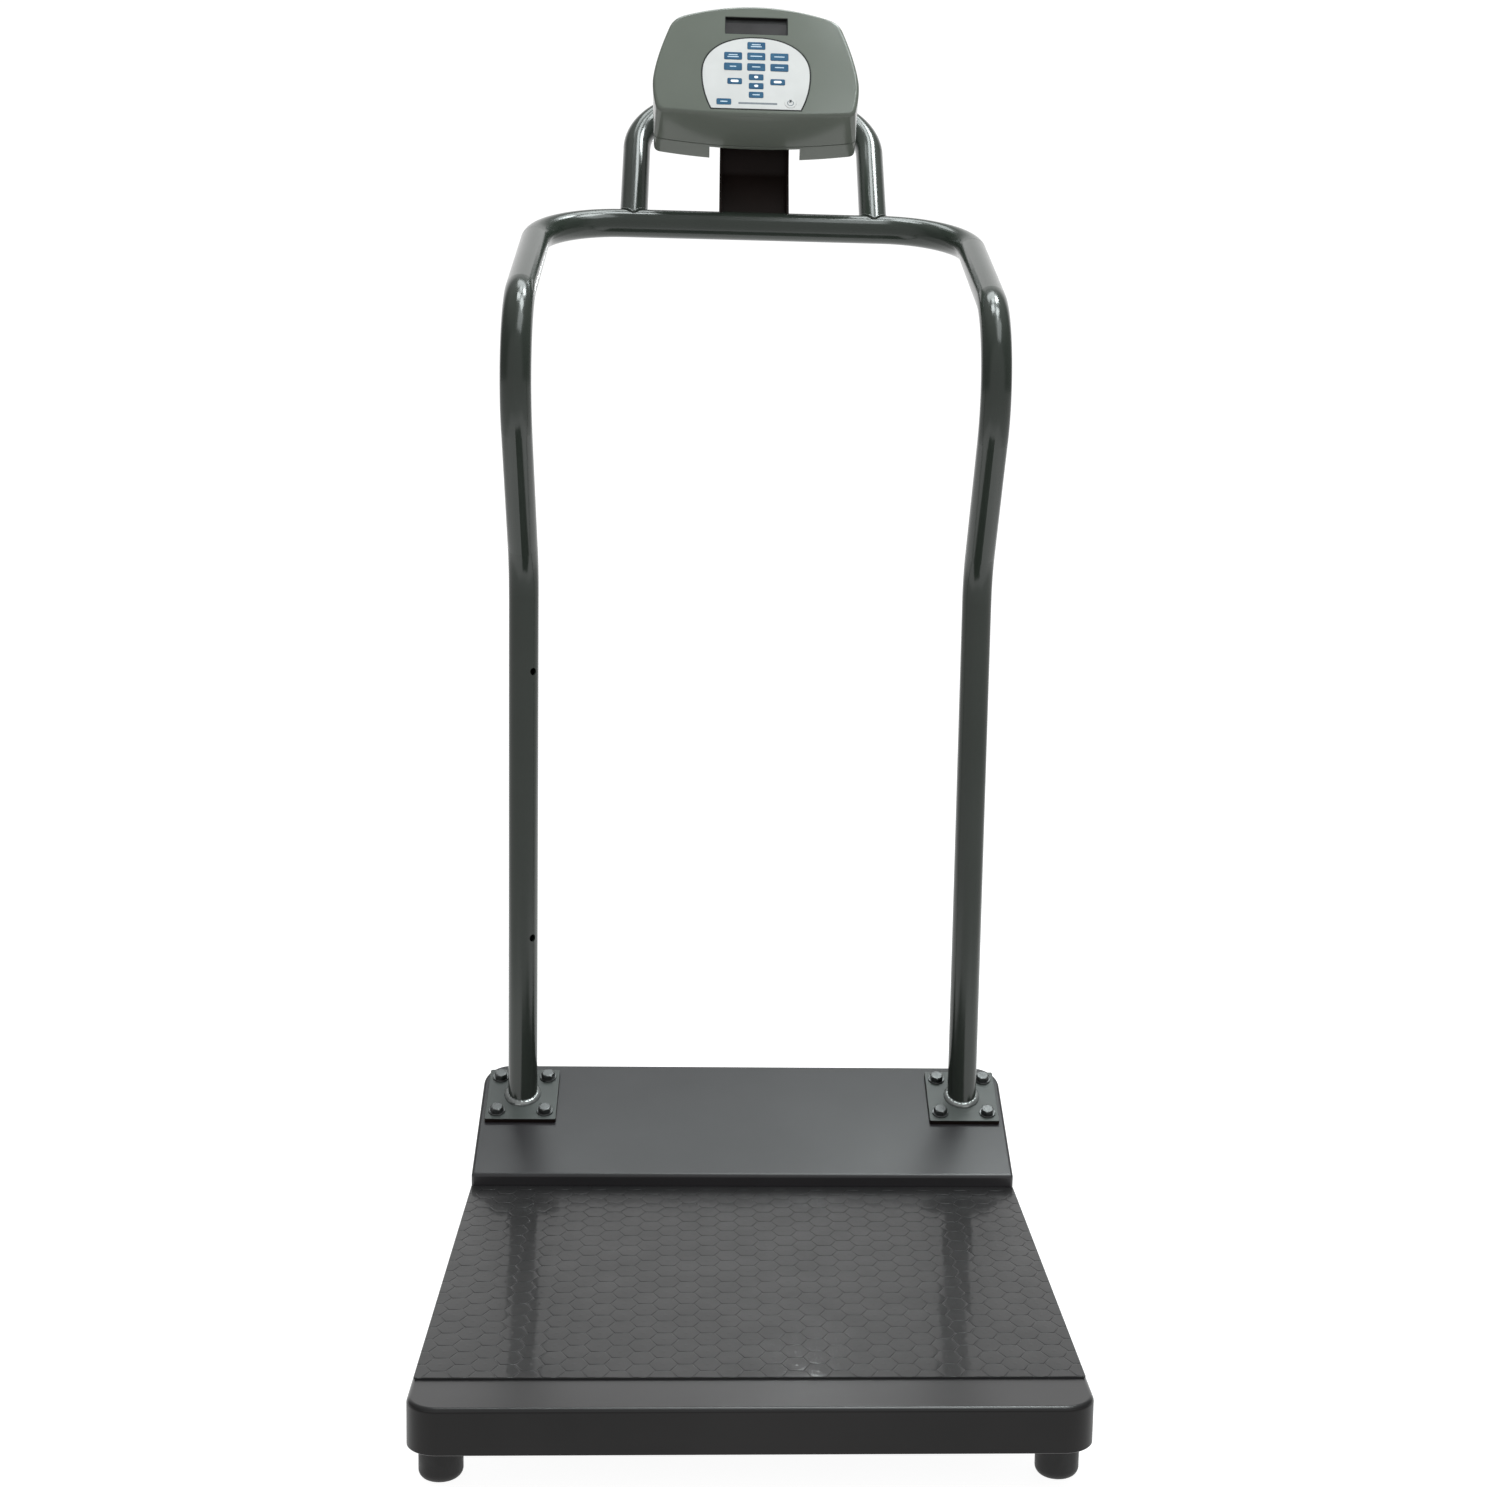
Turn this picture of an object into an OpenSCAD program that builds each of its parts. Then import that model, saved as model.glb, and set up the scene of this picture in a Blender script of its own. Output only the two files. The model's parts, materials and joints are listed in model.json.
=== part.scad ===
// Platform weighing scale with a bent-tube handrail and a tilting display head.
// Millimetres, +Z up, front face towards -Y, origin on the floor below the centre of the whole object.

/* [Platform] */
// Width of the platform across the skirt
platform_w = 580; // [520:1:660]
// Height of the steel deck above the floor
platform_top = 82; // [76:1:110]
// Height of the skirt round the deck
skirt_h = 41; // [36:1:60]
// Radius of the vertical corners of the skirt
corner_r = 28; // [16:1:36]
// Outer radius of the bend between deck and skirt
edge_r = 4.5; // [3:0.5:9]
// Thickness of the deck sheet
sheet_t = 2.5; // [1.5:0.25:3]
// Depth of the bare band in front of the mat
apron_d = 59; // [30:1:90]

/* [Mat] */
// Depth of the mat from front to back
mat_d = 490; // [400:1:600]
// Thickness of the mat
mat_t = 2; // [1.5:0.5:8]
// Distance of the mat from the side of the platform
mat_inset = 1.5; // [1:0.5:8]

/* [Rear cover] */
// Depth of the sloped cover from front to back
cover_d = 171; // [150:1:220]
// Height of the front face of the cover above the deck
cover_rise = 14; // [10:1:30]
// Slope of the cover
cover_slope = 22.3; // [15:0.1:28]
// Thickness of the cover sheet
cover_t = 2; // [1:0.25:3]

/* [Flange plates] */
// Width of a flange plate
plate_w = 77; // [70:1:86]
// Length of a flange plate along the slope
plate_l = 85; // [76:1:96]
// Thickness of a flange plate
plate_t = 5; // [3:0.5:8]
// Distance from the plate to the rear edge of the cover, along the slope
plate_rear_gap = 15; // [12:1:25]
// Bolt spacing across the plate
bolt_dx = 52; // [48:1:58]
// Bolt spacing along the plate
bolt_dy = 58; // [54:1:66]
// Diameter of a flange bolt
bolt_d = 8; // [6:1:10]

/* [Handrail] */
// Outer diameter of the handrail tube
tube_od = 31.75; // [28:0.25:36]
// Wall of the handrail tube
tube_wall = 2; // [1.2:0.1:3]
// Distance of a post's centre from the side of the platform
rail_inset = 46.5; // [44:0.5:60]
// Centre-line radius of every handrail bend
bend_r = 95.25; // [70:0.25:110]
// Height at which the post turns forward
knee_z = 729; // [600:1:900]
// Forward lean of the tube above the knee
rail_lean = 33.4; // [25:0.1:40]
// How far the front bend reaches before the post
front_reach = 167; // [150:1:200]
// How far the crossbar lies behind the post
back_reach = 239; // [210:1:300]
// Rise of the hand grips towards the crossbar
grip_slope = 17.5; // [10:0.1:25]
// Diameter of the two holes in the left post
post_hole_d = 8; // [5:0.5:12]
// Height of the lower hole
post_hole_low = 328; // [260:1:420]
// Height of the upper hole
post_hole_high = 620; // [480:1:640]

/* [Head arch] */
// Distance between the legs of the arch, centre to centre
arch_gap = 276; // [264:1:300]
// Length of the arch from the crossbar to its top bar
arch_l = 228; // [200:1:260]
// Backward lean of the arch
arch_lean = 47; // [40:0.5:55]
// Centre-line radius of the arch bends
arch_bend_r = 90; // [60:1:100]

/* [Head bracket] */
// Width of the bracket
bracket_w = 80; // [70:1:86]
// Thickness of the bracket sheet
bracket_t = 3; // [2:0.25:4]
// Depth of the side flanges of the bracket
bracket_flange = 14; // [8:0.5:16]
// Height of the bend in the bracket above the crossbar axis
bracket_bend_up = 62; // [56:1:70]
// Distance of the tilt pin behind the crossbar axis
pivot_back = 40; // [34:1:50]
// Height of the tilt pin above the crossbar axis
pivot_up = 110; // [104:1:125]
// Diameter of the tilt pin
pin_d = 6; // [4:0.5:7]

/* [Display head] */
// Largest width of the head
head_w = 235; // [225:1:244]
// Length of the face from its bottom edge to the top
head_l = 152; // [142:1:165]
// Width of the face along its bottom edge
face_bottom_w = 222; // [212:1:226]
// Width of the head between its top corners
head_top_w = 191; // [185:1:205]
// Rise of the crowned top edge
head_crown = 20; // [10:1:24]
// Depth of the front shell
front_shell_d = 50; // [44:1:60]
// Depth of the rear shell
rear_shell_d = 26; // [24:1:36]
// How far the bottom edge of the face bows out
face_bow = 4.5; // [1:0.5:6]
// How far the bottom wall bows out at the parting line
bottom_bow = 10; // [2:0.5:12]
// Radius of the edge round the face
face_edge_r = 4; // [2:0.5:6]
// Wall of the shells
shell_wall = 2.5; // [2:0.25:3.5]
// Lean of the face from the vertical
face_lean = 32; // [25:0.5:40]
// Width of the notch between the ears of the rear shell
notch_w = 104; // [100:1:110]
// Width of the display window
window_w = 72; // [60:1:80]
// Height of the display window
window_h = 24.5; // [20:0.5:28]
// Height of the window's lower edge on the face
window_low = 110.5; // [108:0.5:114]
// Depth of the window behind the face
window_recess = 3.5; // [3.5:0.5:8]

/* [Keypad] */
// Width of the keypad overlay
overlay_w = 122; // [116:0.5:124]
// Height of the overlay's widest place on the face
overlay_mid = 54; // [52:0.5:56]
// Rise of the overlay's arched top above its widest place
overlay_arch = 50.5; // [48:0.5:52]
// Height of the overlay's flat lower edge on the face
overlay_low = 4.5; // [4:0.5:6]
// Width of a large key
key_w = 20.5; // [18:0.5:22]
// Height of a large key
key_h = 10.5; // [9:0.5:12]
// Width of a small key
small_key_w = 16.6; // [14:0.2:18]
// Height of a small key
small_key_h = 8.4; // [8:0.2:10]
// Column spacing of the keys
key_col = 26.5; // [24:0.5:28]
// Row spacing of the large keys
key_row = 15.2; // [14.5:0.1:15.4]
// Row spacing of the small keys
small_row = 12.5; // [11.5:0.1:12.8]
// Diameter of the power key
power_key_d = 13; // [10:0.5:14]
// Travel of a key
key_travel = 0.4; // [0.2:0.05:0.4]

/* [Feet and load cells] */
// Diameter of a foot pad
foot_d = 38; // [30:1:44]
// Radius of the rounded lower edge of a foot pad
foot_edge_r = 8; // [2:0.5:10]
// Distance of a foot from the side of the platform
foot_side = 26; // [25:1:34]
// Distance of a foot from the front or the rear of the platform
foot_end = 50; // [40:1:70]
// Diameter of a foot stud
stud_d = 12; // [10:1:14]
// Downward travel of a foot on its stud
foot_travel = 12; // [6:1:14]
// Length of a load cell
cell_l = 130; // [125:1:150]
// Width of a load cell
cell_w = 30; // [26:1:32]
// Height of a load cell
cell_h = 22; // [20:1:24]

/* [Hidden] */
$fn = 48;

// Overhang that lets a cut pass clean through a face
cut = 1;
// Radial play of a pin or stud that moves in its bore
run_play = 0.05;
// Play round a piece that is only set in place
set_play = 0.3;
// Depth by which two portions of one piece run into each other
overlap = 1;

// Colours
paint_black = "#35363a";
paint_green = "#48524f";
rubber_grey = "#4a4a4c";
rubber_black = "#1c1c1d";
zinc_grey = "#6d7072";
bare_steel = "#9aa0a3";
alloy = "#b9bec2";
olive_plastic = "#747a6c";
overlay_white = "#e3e6ec";
key_blue = "#3f6486";
board_green = "#2f6b46";
window_dark = "#20262a";
display_grey = "#6f7a6a";

// Places along the depth of the object
platform_d = apron_d + mat_d + cover_d;
slope_l = cover_d / cos(cover_slope);
plate_s = slope_l - plate_rear_gap - plate_l / 2;
post_from_front = apron_d + mat_d + plate_s * cos(cover_slope) - plate_t * sin(cover_slope);
bar_from_front = post_from_front + back_reach;
total_d = bar_from_front + arch_l * sin(arch_lean) + tube_od / 2;
y_front = -round(total_d * 5) / 10;
y_rear = y_front + platform_d;
y_mid = y_front + platform_d / 2;
y_mat = y_front + apron_d;
y_cover = y_mat + mat_d;
post_y = y_front + post_from_front;
bar_y = y_front + bar_from_front;

// Heights
deck_under = platform_top - sheet_t;
skirt_low = platform_top - skirt_h;
cover_z = platform_top + cover_rise;
plate_top_z = cover_z + plate_s * sin(cover_slope) + plate_t * cos(cover_slope);
front_bend_z = knee_z + front_reach / tan(rail_lean);
bar_z = front_bend_z + (front_reach + back_reach) * tan(grip_slope);

// Mat and cover
mat_gap = 0.5;
cover_w = platform_w - 2 * mat_inset;
mat_corner_r = 3;

// Tubes
bend_swell = 0.05;
bend_lap = 1;

// Flanges
rail_x = platform_w / 2 - rail_inset;
bead_r = 4;
plate_corner_r = 4;
bolt_head_af = bolt_d * 1.625;
bolt_head_h = bolt_d * 0.66;
washer_d = bolt_d * 2.1;
washer_t = bolt_d * 0.2;
bolt_play = 0.2;
nut_h = bolt_d * 0.8;
bolt_tail = 3;
anchor_t = 6;
anchor_margin = 5;
web_t = 5;
web_x = 14;

// Head frame: x across, y up the face, z out of the face
head_d = front_shell_d + rear_shell_d;
pivot_v = 25;
knuckle_wall = 2.5;
knuckle_d = pin_d + 2 * knuckle_wall;
nut_play = 0.5;
tilt_nut_af = pin_d * 1.65;
tilt_nut_h = pin_d * 0.8;
pivot_w = -(head_d - shell_wall - tilt_nut_af / sqrt(3) - nut_play);
pocket_lap = 4;
pocket_floor = -front_shell_d - pocket_lap;
pocket_head_room = 6;
pocket_top = pivot_v + knuckle_d + pocket_head_room;
pocket_wall = 4;
bush_step = 0.5;
bush_d = knuckle_d + 2 * bush_step;
bush_play = 0.1;
pivot_y = bar_y + pivot_back;
pivot_z = bar_z + pivot_up;
face_wall = 3.5;
widest_v = 42;
parting_taper = 3;
parting_bottom_w = head_w - parting_taper;
rear_edge_r = 3;
shoulder_v = head_l - head_crown;
top_corner = 12;
side_power = 1.5;
bottom_corner = 7;
corner_steps = 5;
edge_steps = 6;
side_steps = 8;
bevel_steps = 3;
overlay_side_r = 122;
overlay_power = 2.2;
overlay_steps = 36;
overlay_gap = 0.8;

// Keypad stack, measured down from the face
recess_d = 2;
circuit_t = 0.4;
dome_h = 0.3;
dome_play = 0.05;
dome_in = 1;
overlay_t = recess_d - circuit_t;
key_t = 1.2;
key_play = 0.15;
key_bottom = -recess_d + circuit_t + dome_h + key_travel + dome_play;
key_corner_r = 1.5;

// Key layout: place across and up the face, width and height
row3_above_mid = 9.4;
row3_v = overlay_mid + row3_above_mid;
row2_v = row3_v + key_row;
top_v = row2_v + key_row;
up_below_row3 = 14.4;
up_v = row3_v - up_below_row3;
down_v = up_v - small_row;
lower_v = down_v - small_row;
side_v = (up_v + down_v) / 2;
bottom_row_up = 9;
bottom_v = overlay_low + bottom_row_up;
side_key_in = 2;
side_key_x = key_col - side_key_in;
bottom_key_x = -36.5;
power_key_x = 39;
KEYS = [
    [0, top_v, key_w, key_h],
    [-key_col, row2_v, key_w, key_h],
    [0, row2_v, key_w, key_h],
    [key_col, row2_v, key_w, key_h],
    [-key_col, row3_v, key_w, key_h],
    [0, row3_v, key_w, key_h],
    [key_col, row3_v, key_w, key_h],
    [0, up_v, small_key_w, small_key_h],
    [0, down_v, small_key_w, small_key_h],
    [0, lower_v, small_key_w, small_key_h],
    [-side_key_x, side_v, small_key_w, small_key_h],
    [side_key_x, side_v, small_key_w, small_key_h],
    [bottom_key_x, bottom_v, small_key_w, small_key_h]
];

// Inside the head
window_frame = 3;
lens_t = 2;
lens_lip = 2;
module_t = 6;
board_t = 1.6;
board_w = 130;
board_low = 14;
board_top = window_low + window_h;
board_post_d = 6;
board_post_in = 6;
board_post_down = 36;
board_z = -window_recess - lens_t - module_t;
boss_d = 8;
pilot_d = 2.6;
screw_d = 2.5;
screw_head_d = 5.6;
screw_head_h = 2;
screw_sink = 2.2;
screw_grip = 12;
low_screw_v = 22;
high_screw_v = 112;
SCREWS = [[-97, low_screw_v], [97, low_screw_v], [-88, high_screw_v], [88, high_screw_v]];

// Batteries
cell_aa_d = 14.5;
cell_aa_l = 50.5;
aa_pitch = 15;
aa_banks = 2;
aa_in_bank = 3;
aa_end_play = 0.5;
aa_room = 0.5;
tray_wall = 1.5;
aa_bank_l = cell_aa_l + 2 * aa_end_play;
tray_w = aa_banks * aa_bank_l + 2 * tray_wall;
tray_h = aa_in_bank * aa_pitch + 2 * tray_wall;
tray_d = cell_aa_d + tray_wall + aa_room;
tray_v = 98;
door_margin = 3;
door_t = 2;
door_rib_h = 0.8;
door_rib_t = 1.2;
door_rib_pitch = 3;
door_ribs = 5;

// Power inlet
inlet_from_side = 41.5;
inlet_x = head_w / 2 - inlet_from_side;
inlet_v = 46;
inlet_d = 9;
inlet_bore_d = 6;
inlet_pin_d = 2;
inlet_pin_set = 1;
inlet_box = 14;
inlet_depth = 11;

// Feet and load cells
foot_x = platform_w / 2 - foot_side;
CORNERS = [[-1, -1], [1, -1], [-1, 1], [1, 1]];
cell_plate_t = 5;
spacer_t = 2.5;
cell_top = deck_under - cell_plate_t - spacer_t;
cell_low = cell_top - cell_h;
cell_end = 15;
cell_bolt_d = 8;
cell_bolt_end = 15;
cell_bolt_pitch = 25;
cell_bolt_2 = cell_l - cell_end - cell_bolt_end;
cell_bolt_1 = cell_bolt_2 - cell_bolt_pitch;
cell_bolt_head_af = 13;
cell_bolt_head_h = 5;
cell_seat_y = cell_bolt_1 - cell_bolt_head_af;
cell_seat_l = cell_l - cell_end - cell_seat_y;
waist_d = 15;
waist_gap = 18;
lock_nut_h = 6.5;
lock_nut_af = 19;
pad_room = 0.5;
pad_h = cell_low - lock_nut_h - pad_room;
stud_sink = 14;
stud_short = 3;
stud_top = cell_top - stud_short;
frame_tube_w = 30;
frame_tube_h = 25;
frame_wall = 2;
frame_clear = 6;
frame_x = foot_x - cell_w / 2 - frame_clear;
frame_inset = 20;
frame_l = platform_d - 2 * frame_inset;

// Unit vector along v
function unit(v) = v / norm(v);
// Angle through which the path a, b, c turns at b
function turn_at(a, b, c) = acos(unit(b - a) * unit(c - b));
// Length of straight tube that a bend at b takes up on each side
function trim_at(a, b, c, r) = r * tan(turn_at(a, b, c) / 2);
// Length by which a straight stops short of point i of a path, zero at the path's ends
function straight_trim(pts, i, r) =
    i == 0 || i == len(pts) - 1 ? 0 : trim_at(pts[i - 1], pts[i], pts[i + 1], r) - bend_lap;
// Mirror image of a list of points, last point first
function mirrored(pts) = [for (i = [len(pts) - 1 : -1 : 0]) [-pts[i][0], pts[i][1], pts[i][2]]];
// Point at t on a quadratic curve
function curve(p0, p1, p2, t) = (1 - t) * (1 - t) * p0 + 2 * t * (1 - t) * p1 + t * t * p2;

// Straight round bar from a to b
module bar(a, b, d) {
    v = b - a;
    l = norm(v);
    translate(a)
        rotate([0, acos(v[2] / l), atan2(v[1], v[0])])
            cylinder(d = d, h = l);
}

// Round bend of centre-line radius r at point b
module bend(a, b, c, d, r) {
    run = unit(b - a);
    axis = unit(cross(run, c - b));
    inward = cross(axis, run);
    centre = b - run * trim_at(a, b, c, r) + inward * r;
    multmatrix([
        [-inward[0], run[0], axis[0], centre[0]],
        [-inward[1], run[1], axis[1], centre[1]],
        [-inward[2], run[2], axis[2], centre[2]],
        [0, 0, 0, 1]
    ])
        rotate_extrude(angle = turn_at(a, b, c))
            translate([r, 0])
                circle(d = d);
}

// Round bar along a path with bends of radius r; a bend is a hair thicker than the straights that end in it
module bent_bar(pts, d, r) {
    last = len(pts) - 1;
    for (i = [0 : last - 1]) {
        run = unit(pts[i + 1] - pts[i]);
        bar(pts[i] + run * straight_trim(pts, i, r), pts[i + 1] - run * straight_trim(pts, i + 1, r), d);
    }
    for (i = [1 : last - 1])
        bend(pts[i - 1], pts[i], pts[i + 1], d + 2 * bend_swell, r);
}

// Rectangle with rounded corners, centred
module rounded_rect(w, h, r) {
    square([w - 2 * r, h], center = true);
    square([w, h - 2 * r], center = true);
    for (x = [-1, 1], y = [-1, 1])
        translate([x * (w / 2 - r), y * (h / 2 - r)])
            circle(r = r);
}

// Hexagon prism of width af across its flats
module hexagon(af, h) {
    cylinder(d = af / cos(30), h = h, $fn = 6);
}

// Frame of the slope: x across, y up the slope, z out of the cover
module on_cover() {
    translate([0, y_cover, cover_z])
        rotate([cover_slope, 0, 0])
            children();
}

// Both flange positions, then the four bolts of each
module at_flanges() {
    for (x = [-rail_x, rail_x])
        on_cover()
            translate([x, plate_s, 0])
                children();
}
module at_flange_bolts() {
    for (x = [-bolt_dx / 2, bolt_dx / 2], y = [-bolt_dy / 2, bolt_dy / 2])
        translate([x, y, 0])
            children();
}

// Frame of the display head
module in_head() {
    translate([0, pivot_y, pivot_z])
        rotate([90 - face_lean, 0, 0])
            translate([0, -pivot_v, -pivot_w])
                children();
}

// Platform deck: sheet bent down all round, open below
module deck_section(r, bend, h) {
    square([r - bend, h]);
    square([r, h - bend]);
    translate([r - bend, h - bend])
        circle(r = bend);
}
module deck_profile() {
    difference() {
        deck_section(corner_r, edge_r, skirt_h);
        translate([0, -cut])
            deck_section(corner_r - sheet_t, edge_r - sheet_t, skirt_h - sheet_t + cut);
    }
}
module deck_side(l) {
    rotate([90, 0, 0])
        translate([0, 0, -l / 2])
            linear_extrude(l)
                deck_profile();
}
module platform_deck() {
    half_w = platform_w / 2 - corner_r;
    half_d = platform_d / 2 - corner_r;
    color(paint_black)
        translate([0, y_mid, skirt_low]) {
            for (x = [0, 1], y = [0, 1])
                mirror([x, 0, 0])
                    mirror([0, y, 0])
                        translate([half_w, half_d, 0])
                            rotate_extrude(angle = 90)
                                deck_profile();
            for (x = [0, 1]) {
                mirror([x, 0, 0])
                    translate([half_w, 0, 0])
                        deck_side(2 * half_d);
                mirror([0, x, 0])
                    translate([0, half_d, 0])
                        rotate([0, 0, 90])
                            deck_side(2 * half_w);
            }
            translate([-half_w, -half_d, skirt_h - sheet_t])
                cube([2 * half_w, 2 * half_d, sheet_t]);
        }
}

// One corner of the platform: origin under the foot, x outwards, y towards the middle
module at_corner(c) {
    translate([0, y_mid, 0])
        mirror([c[0] < 0 ? 1 : 0, 0, 0])
            mirror([0, c[1] > 0 ? 1 : 0, 0])
                translate([foot_x, foot_end - platform_d / 2, 0])
                    children();
}

// Base frame: two side tubes and the plates that carry the load cells
module square_tube(l) {
    difference() {
        cube([frame_tube_w, l, frame_tube_h]);
        translate([frame_wall, -cut, frame_wall])
            cube([frame_tube_w - 2 * frame_wall, l + 2 * cut, frame_tube_h - 2 * frame_wall]);
    }
}
module base_frame() {
    color(paint_black) {
        for (x = [-frame_x, frame_x - frame_tube_w])
            translate([x, y_front + frame_inset, deck_under - frame_tube_h])
                square_tube(frame_l);
        for (c = CORNERS)
            at_corner(c)
                difference() {
                    translate([frame_x - foot_x, cell_seat_y, deck_under - cell_plate_t])
                        cube([foot_x - frame_x + cell_w / 2, cell_seat_l, cell_plate_t]);
                    at_cell_bolts()
                        cylinder(d = cell_bolt_d + 2 * bolt_play, h = platform_top);
                }
    }
}

// Three cross tubes, welded between the side tubes of the base frame
module frame_crossmembers() {
    span = 2 * (frame_x - frame_tube_w);
    color(paint_black)
        for (y = [0, (frame_l - frame_tube_w) / 2, frame_l - frame_tube_w])
            translate([span / 2, y_front + frame_inset + y, deck_under - frame_tube_h])
                rotate([0, 0, 90])
                    square_tube(span);
}

// Rubber mat, plain sheet with rounded corners
module platform_mat() {
    color(rubber_grey)
        translate([0, y_mat + (mat_d - mat_gap) / 2, platform_top])
            linear_extrude(mat_t)
                rounded_rect(platform_w - 2 * mat_inset, mat_d - mat_gap, mat_corner_r);
}

// Rear cover: sloped sheet with side and rear walls, open below
module cover_solid(wall) {
    rise = cover_rise + wall * tan(cover_slope) - wall / cos(cover_slope);
    d = cover_d - 2 * wall;
    low = wall > 0 ? -cut : 0;
    r = corner_r - wall;
    half_w = cover_w / 2 - wall;
    translate([0, y_cover + wall, platform_top])
        intersection() {
            rotate([90, 0, 90])
                translate([0, 0, -half_w])
                    linear_extrude(2 * half_w)
                        polygon([[0, low], [d, low], [d, rise + d * tan(cover_slope)], [0, rise]]);
            translate([0, 0, -2 * cut])
                linear_extrude(cover_d + cover_rise) {
                    translate([-half_w, 0])
                        square([2 * half_w, d - r]);
                    translate([-half_w + r, 0])
                        square([2 * (half_w - r), d]);
                    for (x = [-1, 1])
                        translate([x * (half_w - r), d - r])
                            circle(r = r);
                }
        }
}
module rear_cover() {
    color(paint_black)
        difference() {
            cover_solid(0);
            cover_solid(cover_t);
            at_flanges()
                at_flange_bolts()
                    translate([0, 0, -2 * cover_t])
                        cylinder(d = bolt_d + 2 * bolt_play, h = 3 * cover_t);
        }
}

// Summing board on its four posts, inside the rear cover, with one terminal block for each load cell
module summing_board() {
    w = 110;
    d = 60;
    post_h = 6;
    block = [19, 9, 11];
    block_pitch = w / len(CORNERS);
    block_edge = 3;
    color(board_green)
        translate([0, y_rear - cover_t - d, platform_top]) {
            for (x = [-1, 1], y = [-1, 1])
                translate([x * (w / 2 - board_post_in), y * (d / 2 - board_post_in), 0])
                    cylinder(d = board_post_d, h = post_h);
            translate([-w / 2, -d / 2, post_h])
                cube([w, d, board_t]);
            for (i = [0 : len(CORNERS) - 1])
                translate([
                    (i + 0.5) * block_pitch - w / 2 - block[0] / 2,
                    block_edge - d / 2,
                    post_h + board_t
                ])
                    cube(block);
        }
}

// Load cell: bending beam with a double waist, fixed at its inner end
module at_cell_bolts() {
    for (y = [cell_bolt_1, cell_bolt_2])
        translate([0, y, 0])
            children();
}
module load_cell(c) {
    waist_y = cell_bolt_1 / 2;
    slot = 3;
    color(alloy)
        at_corner(c)
            difference() {
                translate([-cell_w / 2, -cell_end, cell_low])
                    cube([cell_w, cell_l, cell_h]);
                for (y = [-waist_gap / 2, waist_gap / 2])
                    translate([-cell_w, waist_y + y, cell_low + cell_h / 2])
                        rotate([0, 90, 0])
                            cylinder(d = waist_d, h = 2 * cell_w);
                translate([-cell_w, waist_y - waist_gap / 2, cell_low + cell_h / 2 - slot / 2])
                    cube([2 * cell_w, waist_gap, slot]);
                cylinder(d = stud_d + 2 * run_play, h = platform_top);
                at_cell_bolts()
                    cylinder(d = cell_bolt_d + 2 * bolt_play, h = platform_top);
            }
}
module load_cell_spacers() {
    color(bare_steel)
        for (c = CORNERS)
            at_corner(c)
                difference() {
                    translate([-cell_w / 2, cell_seat_y, cell_top])
                        cube([cell_w, cell_seat_l, spacer_t]);
                    at_cell_bolts()
                        cylinder(d = cell_bolt_d + 2 * bolt_play, h = platform_top);
                }
}
module load_cell_bolts() {
    color(zinc_grey)
        for (c = CORNERS)
            at_corner(c)
                at_cell_bolts()
                    translate([0, 0, cell_low]) {
                        translate([0, 0, -cell_bolt_head_h])
                            hexagon(cell_bolt_head_af, cell_bolt_head_h);
                        cylinder(d = cell_bolt_d, h = cell_h + spacer_t + cell_plate_t);
                    }
}

// Feet: rubber pad, steel stud in the load cell and a lock nut against it
module foot_pad(c) {
    r = foot_d / 2;
    color(rubber_black)
        at_corner(c)
            difference() {
                rotate_extrude() {
                    square([r - foot_edge_r, pad_h]);
                    translate([0, foot_edge_r])
                        square([r, pad_h - foot_edge_r]);
                    translate([r - foot_edge_r, foot_edge_r])
                        circle(r = foot_edge_r);
                }
                translate([0, 0, pad_h - stud_sink])
                    cylinder(d = stud_d + 2 * run_play, h = pad_h);
            }
}
module foot_stud(c) {
    color(bare_steel)
        at_corner(c)
            translate([0, 0, pad_h - stud_sink])
                cylinder(d = stud_d, h = stud_top - pad_h + stud_sink);
}
module foot_lock_nuts() {
    color(zinc_grey)
        for (c = CORNERS)
            at_corner(c)
                translate([0, 0, cell_low - lock_nut_h])
                    difference() {
                        hexagon(lock_nut_af, lock_nut_h);
                        translate([0, 0, -cut])
                            cylinder(d = stud_d + 2 * run_play, h = lock_nut_h + 2 * cut);
                    }
}

// Rail anchor: sloped plate on two webs that stand on the deck
module rail_anchor(side) {
    w = plate_w - 2 * anchor_margin;
    l = plate_l - 2 * anchor_margin;
    y0 = plate_s - l / 2;
    under = cover_t + anchor_t;
    color(paint_black)
        difference() {
            union() {
                on_cover()
                    translate([side * rail_x - w / 2, y0, -under])
                        cube([w, l, anchor_t]);
                for (x = [-web_x, web_x - web_t])
                    translate([side * rail_x + x, y_cover, 0])
                        rotate([90, 0, 90])
                            linear_extrude(web_t)
                                polygon([
                                    [web_y(y0), platform_top],
                                    [web_y(y0 + l), platform_top],
                                    [web_y(y0 + l), web_z(y0 + l)],
                                    [web_y(y0), web_z(y0)]
                                ]);
            }
            at_flanges()
                at_flange_bolts()
                    translate([0, 0, -under - cut])
                        cylinder(d = bolt_d + 2 * bolt_play, h = under + 2 * cut);
        }
}
// Place of the anchor plate's underside, a little inside the plate, at s along the slope
web_sink = cover_t + anchor_t - overlap;
function web_y(s) = s * cos(cover_slope) + web_sink * sin(cover_slope);
function web_z(s) = cover_z + s * sin(cover_slope) - web_sink * cos(cover_slope);

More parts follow.
